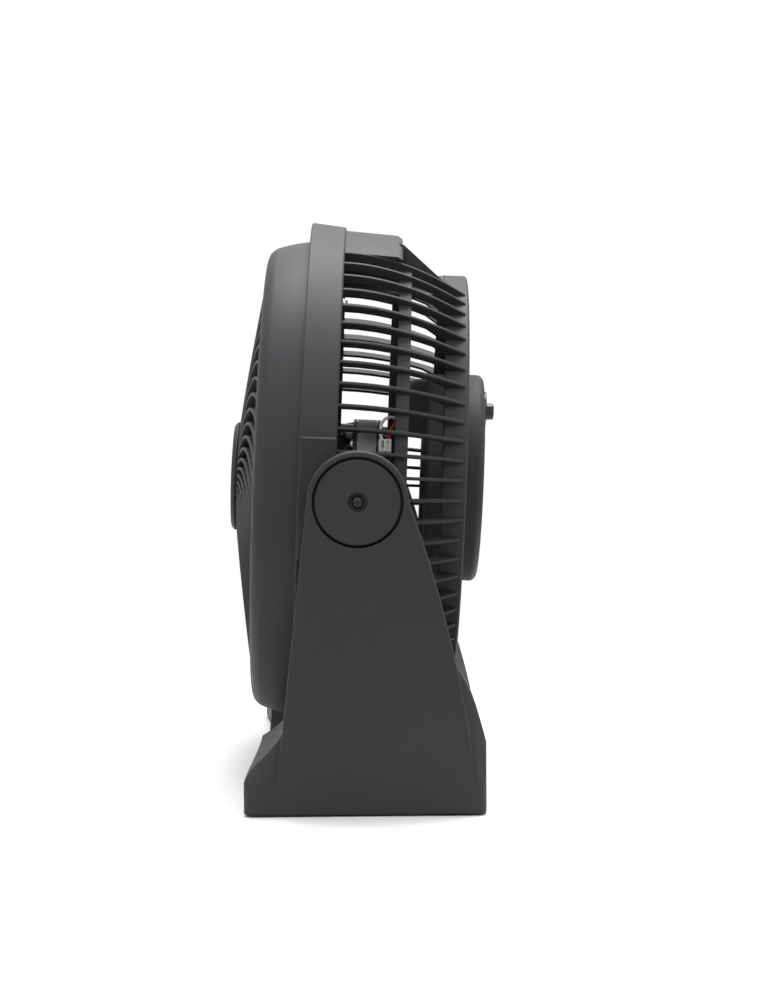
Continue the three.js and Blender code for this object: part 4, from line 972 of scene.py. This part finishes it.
def speed_knob():
    """The knob's round skirt, the grip across it and a light pointer on the grip."""
    k, seat, at = KNOB, COVER["rear"] + GAP, (0, 0, KNOB["z"])
    top = seat + k["skirt_wall"]
    skirt = turned([(k["bore"], seat), (k["skirt"], seat, 0.3), (k["skirt"], top, 1.0), (k["bore"], top)],
                   96, at)
    long, half = k["grip_length"] / 2, k["grip_width"] / 2
    ends = [(-long, -half, 5.0), (long, -half, 5.0), (long, half, 5.0), (-long, half, 5.0)]
    grip = prism(rounded(ends), seat + 0.5, k["rear"] - 0.2, "Y")
    for v in grip.verts:
        if v.co.y > seat + 1:
            v.co.x *= 0.96
            v.co.z *= 0.94
    grip = moved(softened(grip, 1.3, 4, 50), Matrix.Translation(at))
    pointer = softened(block((5.5, 11), (k["rear"] - 0.6, k["rear"]), (-0.5, 0.5)), 0.1)
    finished("speed_knob_moulding", [skirt, grip], "knob", "knob_plastic", "speed_knob")
    finished("speed_knob_pointer", [moved(pointer, Matrix.Translation(at))], "knob", "nylon", "speed_knob")


def cord_inlet():
    """A plain bush in the rear cover."""
    bore, radius, rear = INLET["bore"], INLET["radius"], COVER["rear"]
    neck, tip, front, end = radius - 1.5, rear - COVER["wall"] - 5, rear + GAP, rear + INLET["proud"]
    bush = turned([
        (bore, tip, 0.4), (neck, tip, 0.4), (neck, front), (radius, front, 0.3), (radius, end, 1.1),
        (bore, end, 0.9)], 72, (0, 0, INLET["z"]))
    finished("inlet_bush", [bush], "head", "black_plastic", "cord_inlet")


# ------------------------------------------------------------------ stand

def arm_ends(inset):
    """Where the arm's front and rear edges meet the curves of the foot, in (y, z)."""
    s = STAND
    front = (s["foot_front"] + 25 + inset, s["toe"] + 30.5 - inset)
    rear = (0.786 * s["foot_rear"] - inset, 0.444 * s["pivot_height"])
    return front, rear


def side_outline(inset, low):
    """Side view of the stand, arms and foot together, in (y, z)."""
    s, n, h = STAND, inset, STAND["pivot_height"]
    front, rear, heel, toe = s["foot_front"] + n, s["foot_rear"], s["foot_rear"] + s["rear_bow"], s["toe"] - n
    arm_front, arm_rear = arm_ends(n)
    points = [(front, low), (front, toe)]
    points += bezier(points[-1], (front + 3.3, toe + 12.5), (front + 17.3, toe + 16.5), arm_front)
    points += arc((0, h), s["arm_top"] - n, 180, 0, 40)
    top, bend = points[-1], (0.615 * rear + 1.9 - n, 0.738 * h)
    towards_bend = [tuple(p + (q - p) * 2 / 3 for p, q in zip(end, bend)) for end in (top, arm_rear)]
    points += bezier(top, *towards_bend, arm_rear)
    points += bezier(arm_rear, (0.9 * rear - n, 0.4 * h), (rear + 1 - n, 0.25 * h), (heel - 0.5 - n, toe))
    return [*points, (heel - n, low)]


def plan_outline(inset):
    """The foot seen from above, in (x, y), with its four corners rounded."""
    s, w = STAND, STAND["half_width"] - inset
    front, rear = s["foot_front"] + inset, s["foot_rear"] - inset
    corner = max(1.0, 6.0 - inset)
    bowed, shoulder = front + s["front_bow"], front + s["front_bow"] * 0.9
    points = arc((corner - w, front + corner), corner, 180, 270, 6)
    points += bezier(points[-1], (-w * 0.7, shoulder), (-w * 0.5, bowed), (0, bowed), 20)
    points += bezier(points[-1], (w * 0.5, bowed), (w * 0.7, shoulder), (w - corner, front), 20)
    points += arc((w - corner, front + corner), corner, 270, 360, 6)[1:]
    points += arc((w - corner, rear - corner), corner, 0, 90, 6)
    swell = rear + 4 / 3 * s["rear_bow"]
    points += bezier(points[-1], (w / 3, swell), (-w / 3, swell), (corner - w, rear), 40)
    return points + arc((corner - w, rear - corner), corner, 90, 180, 6)[1:]


FAR = 100  # well past the stand's outside


def cradle_outline(grow):
    """The space between the arms that the head turns in, in (x, z)."""
    x, r, h = STAND["inner"] + grow, STAND["cradle"] + grow, STAND["pivot_height"]
    back = math.degrees(math.acos(x / r))
    return [(-x, h + FAR), (x, h + FAR), *reversed(arc((0, h), r, back - 180, -back, 96))]


def toe_slopes(grow):
    """Slopes that run up and inward from the outer edge of the foot, in front of and behind each arm."""
    s = STAND
    a, b, h = s["foot_front"], s["foot_rear"], s["pivot_height"]
    z, w = s["toe"] - grow, s["half_width"] - 1.2 * grow
    (arm_y, arm_z), (tail_y, tail_z) = arm_ends(grow)
    lean = (-s["arm_top"] - arm_y) / (h - arm_z)
    clear = 50
    front = [(arm_y - lean * (arm_z - z), z), (arm_y, arm_z), (a - clear, arm_z), (a - clear, z)]
    rear = [(b - 6.2 - grow, z), (b - 11.8 - grow, 0.29 * h), (tail_y, tail_z), (b + clear, tail_z),
            (b + clear, z)]
    edge, rise = s["half_width"] + OVERRUN, 100  # toe_run is how far a slope runs inward over this rise
    slopes = []
    for sign in (1, -1):
        wedge = [(sign * w, z), (sign * (w - s["toe_run"]), z + rise), (sign * edge, z + rise),
                 (sign * edge, z)]
        for side in (front, rear):
            slope = prism(wedge, a - clear - 10, b + clear + 10, "Y")
            slopes.append(carved(prism(side, -edge, edge, "X"), slope, operation="INTERSECT"))
    return slopes


def foot_places():
    """Where the rubber feet stand, in (x, y)."""
    s, inset = STAND, FOOT["inset"]
    x = s["half_width"] - inset
    lengths = {"front": s["foot_front"] + inset, "rear": s["foot_rear"] - inset}
    return {f"{end}_{side}": (sign * x, y) for end, y in lengths.items()
            for side, sign in (("right", 1), ("left", -1))}


def stand_body():
    """The moulding: arms, cradle and foot in one, hollow from below."""
    s = STAND
    w, h = s["half_width"], s["pivot_height"]
    sides = softened(prism(side_outline(0, s["rim"]), -w, w, "X"), 1.6, 3, 60)
    outer = carved(sides, prism(plan_outline(-0.03), 0, h + 60, "Z"), operation="INTERSECT")
    outer = carved(outer, prism(cradle_outline(0), -150, 150, "Y"), *toe_slopes(0))
    inner = carved(prism(side_outline(WALL, -OVERRUN), WALL - w, w - WALL, "X"),
                   prism(plan_outline(WALL), -OVERRUN, h - s["solid_above"], "Z"), operation="INTERSECT")
    inner = carved(inner, prism(cradle_outline(WALL), -150, 150, "Y"), *toe_slopes(WALL))
    bores = []
    for sign in (1, -1):
        near, seat, far = sorted((sign * (s["inner"] - OVERRUN), sign * CAP["seat_x"], sign * (w + OVERRUN)))
        seat_span = (seat, far) if sign == 1 else (near, seat)
        bores.append(prism(arc((0, h), PAD["boss"] + GAP + 0.1, 0, 354, 59), near, far, "X"))
        bores.append(prism(arc((0, h), CAP["seat"], 0, 357, 119), *seat_span, "X"))
    return carved(outer, inner, *bores)


def stand():
    """The moulding with its edges rounded, no wider than its flat sides."""
    body = stand_body()
    bmesh.ops.remove_doubles(body, verts=body.verts, dist=0.2)
    bmesh.ops.dissolve_limit(body, angle_limit=math.radians(0.3), verts=body.verts, edges=body.edges,
                             delimit={"NORMAL"})
    body = softened(body, 1.0, 2, 36, clamp=False)
    widest = STAND["half_width"]
    for v in body.verts:
        v.co.x = min(widest, max(-widest, v.co.x))
    finished("stand_moulding", [body], "stand", "charcoal_plastic", "stand", place=BASE, crease=60)


def rubber_feet():
    """A round pad under each corner of the foot."""
    radius, height = FOOT["radius"], FOOT["height"]
    profile = [(0, 0), (radius, 0, 0.7), (radius, height), (0, height)]
    for where, (x, y) in foot_places().items():
        upright = Matrix.Translation((x, y, 0)) @ Matrix.Rotation(math.pi / 2, 4, "X")
        pad = moved(turned(profile, 48), upright)
        finished(f"foot_pad_{where}", [pad], "stand", "rubber", f"rubber_foot_{where}", place=BASE)


# ------------------------------------------------------------------ the pieces that keep their own mesh

def dress_frame():
    """Gives every node that still shows the finish of its slot."""
    slots = {part["node"]: part["material_slot"] for part in frame["record"]["subparts"]}
    for node, thing in frame["nodes"].items():
        thing.data.materials.clear()
        thing.data.materials.append(MATERIALS[slots[node]])


# ------------------------------------------------------------------ camera, light and floor

def photo_camera():
    """Level with the fan from its right-hand side, and a little above it."""
    pixel, focal, picture_height, sensor = 0.00072, 2463.0, 1000, 36.0
    pivot_left, pivot_above = 28.8, 19.7  # where the pivot shows, in pixels from the picture's middle
    pitch, yaw, roll = (math.radians(v) for v in (4.60, 0.55, 0.39))
    right = Vector((math.sin(yaw), math.cos(yaw), 0))
    forward = Vector((-math.cos(yaw) * math.cos(pitch), math.sin(yaw) * math.cos(pitch), -math.sin(pitch)))
    up = right.cross(forward)
    place = PIVOT + pixel * (pivot_left * right - focal * forward - pivot_above * up)
    tilted_right = math.cos(roll) * right - math.sin(roll) * up
    tilted_up = math.sin(roll) * right + math.cos(roll) * up
    lens = bpy.data.cameras.new("camera")
    lens.sensor_width, lens.lens = sensor, sensor * focal / picture_height
    camera = bpy.data.objects.new("camera", lens)
    bpy.context.scene.collection.objects.link(camera)
    turn = Matrix((tilted_right, tilted_up, -forward)).transposed()
    camera.matrix_world = Matrix.Translation(place) @ turn.to_4x4()
    bpy.context.scene.camera = camera


def lamp(name, place, target, size, power):
    """A round lamp aimed at a point."""
    light = bpy.data.lights.new(name, "AREA")
    light.shape, light.size, light.energy = "DISK", size, power
    thing = bpy.data.objects.new(name, light)
    bpy.context.scene.collection.objects.link(thing)
    thing.location = place
    thing.rotation_euler = (Vector(target) - Vector(place)).to_track_quat("-Z", "Y").to_euler()


def studio():
    """White surroundings, one big lamp overhead and weaker ones in front and behind."""
    world = bpy.data.worlds.new("studio")
    bpy.context.scene.world = world
    world.use_nodes = True
    nodes, links = world.node_tree.nodes, world.node_tree.links
    path = nodes.new("ShaderNodeLightPath")
    seen = path.outputs["Is Camera Ray"]
    for name in ("Is Glossy Ray", "Is Transmission Ray"):
        either = nodes.new("ShaderNodeMath")
        either.operation = "MAXIMUM"
        links.new(seen, either.inputs[0])
        links.new(path.outputs[name], either.inputs[1])
        seen = either.outputs[0]
    strength = nodes.new("ShaderNodeMapRange")
    strength.inputs["To Min"].default_value = 0.3
    strength.inputs["To Max"].default_value = 1.0
    links.new(seen, strength.inputs["Value"])
    links.new(strength.outputs[0], nodes["Background"].inputs["Strength"])
    nodes["Background"].inputs["Color"].default_value = (1, 1, 1, 1)
    lamp("overhead", (-0.3, 0.1, 1.6), (0, 0, 0.25), 1.2, 45)
    lamp("near_side", (1.1, -0.1, 1.3), (0, 0, 0.2), 1.0, 9)
    lamp("front_fill", (0.7, -1.4, 0.7), (0, 0, 0.2), 0.9, 4)
    lamp("rear_fill", (0.5, 1.4, 0.7), (0, 0, 0.25), 0.9, 5)


def floor():
    """A pale floor that keeps the shadow and fades into the white surroundings."""
    fade_from, fade_to = 0.28, 0.62
    bm = bmesh.new()
    bmesh.ops.create_circle(bm, cap_ends=True, radius=2.0, segments=96)
    mesh = bpy.data.meshes.new("floor")
    bm.to_mesh(mesh)
    bm.free()
    plane = bpy.data.objects.new("floor", mesh)
    bpy.context.scene.collection.objects.link(plane)
    paint = Paint("pale_floor", base_color=(0.93, 0.93, 0.93), roughness=0.9, specular_ior_level=0.1)
    at = paint.node("ShaderNodeTexCoord").outputs["Object"]
    distance = paint.node("ShaderNodeVectorMath", {"operation": "LENGTH"}, {0: at}).outputs["Value"]
    far = paint.ramp(Amount(paint, distance), fade_from, fade_to)
    clear = paint.node("ShaderNodeBsdfTransparent").outputs[0]
    mixed = paint.node("ShaderNodeMixShader", None, {0: far, 1: paint.shader.outputs[0], 2: clear})
    paint.tree.links.new(mixed.outputs[0], paint.tree.nodes["Material Output"].inputs["Surface"])
    mesh.materials.append(paint.material)


# ------------------------------------------------------------------ assembly

bpy.context.scene.view_settings.view_transform = "Standard"
for make in (photo_camera, studio, floor, dress_frame,
             guard_band, guard_fins, guard_rings, hand_hold, rear_dish, front_grille, front_badge,
             pivot_fixings, small_screws, motor, motor_bracket, connector, leads, fan_wheel, spinner,
             rear_cover, speed_knob, cord_inlet, stand, rubber_feet):
    make()
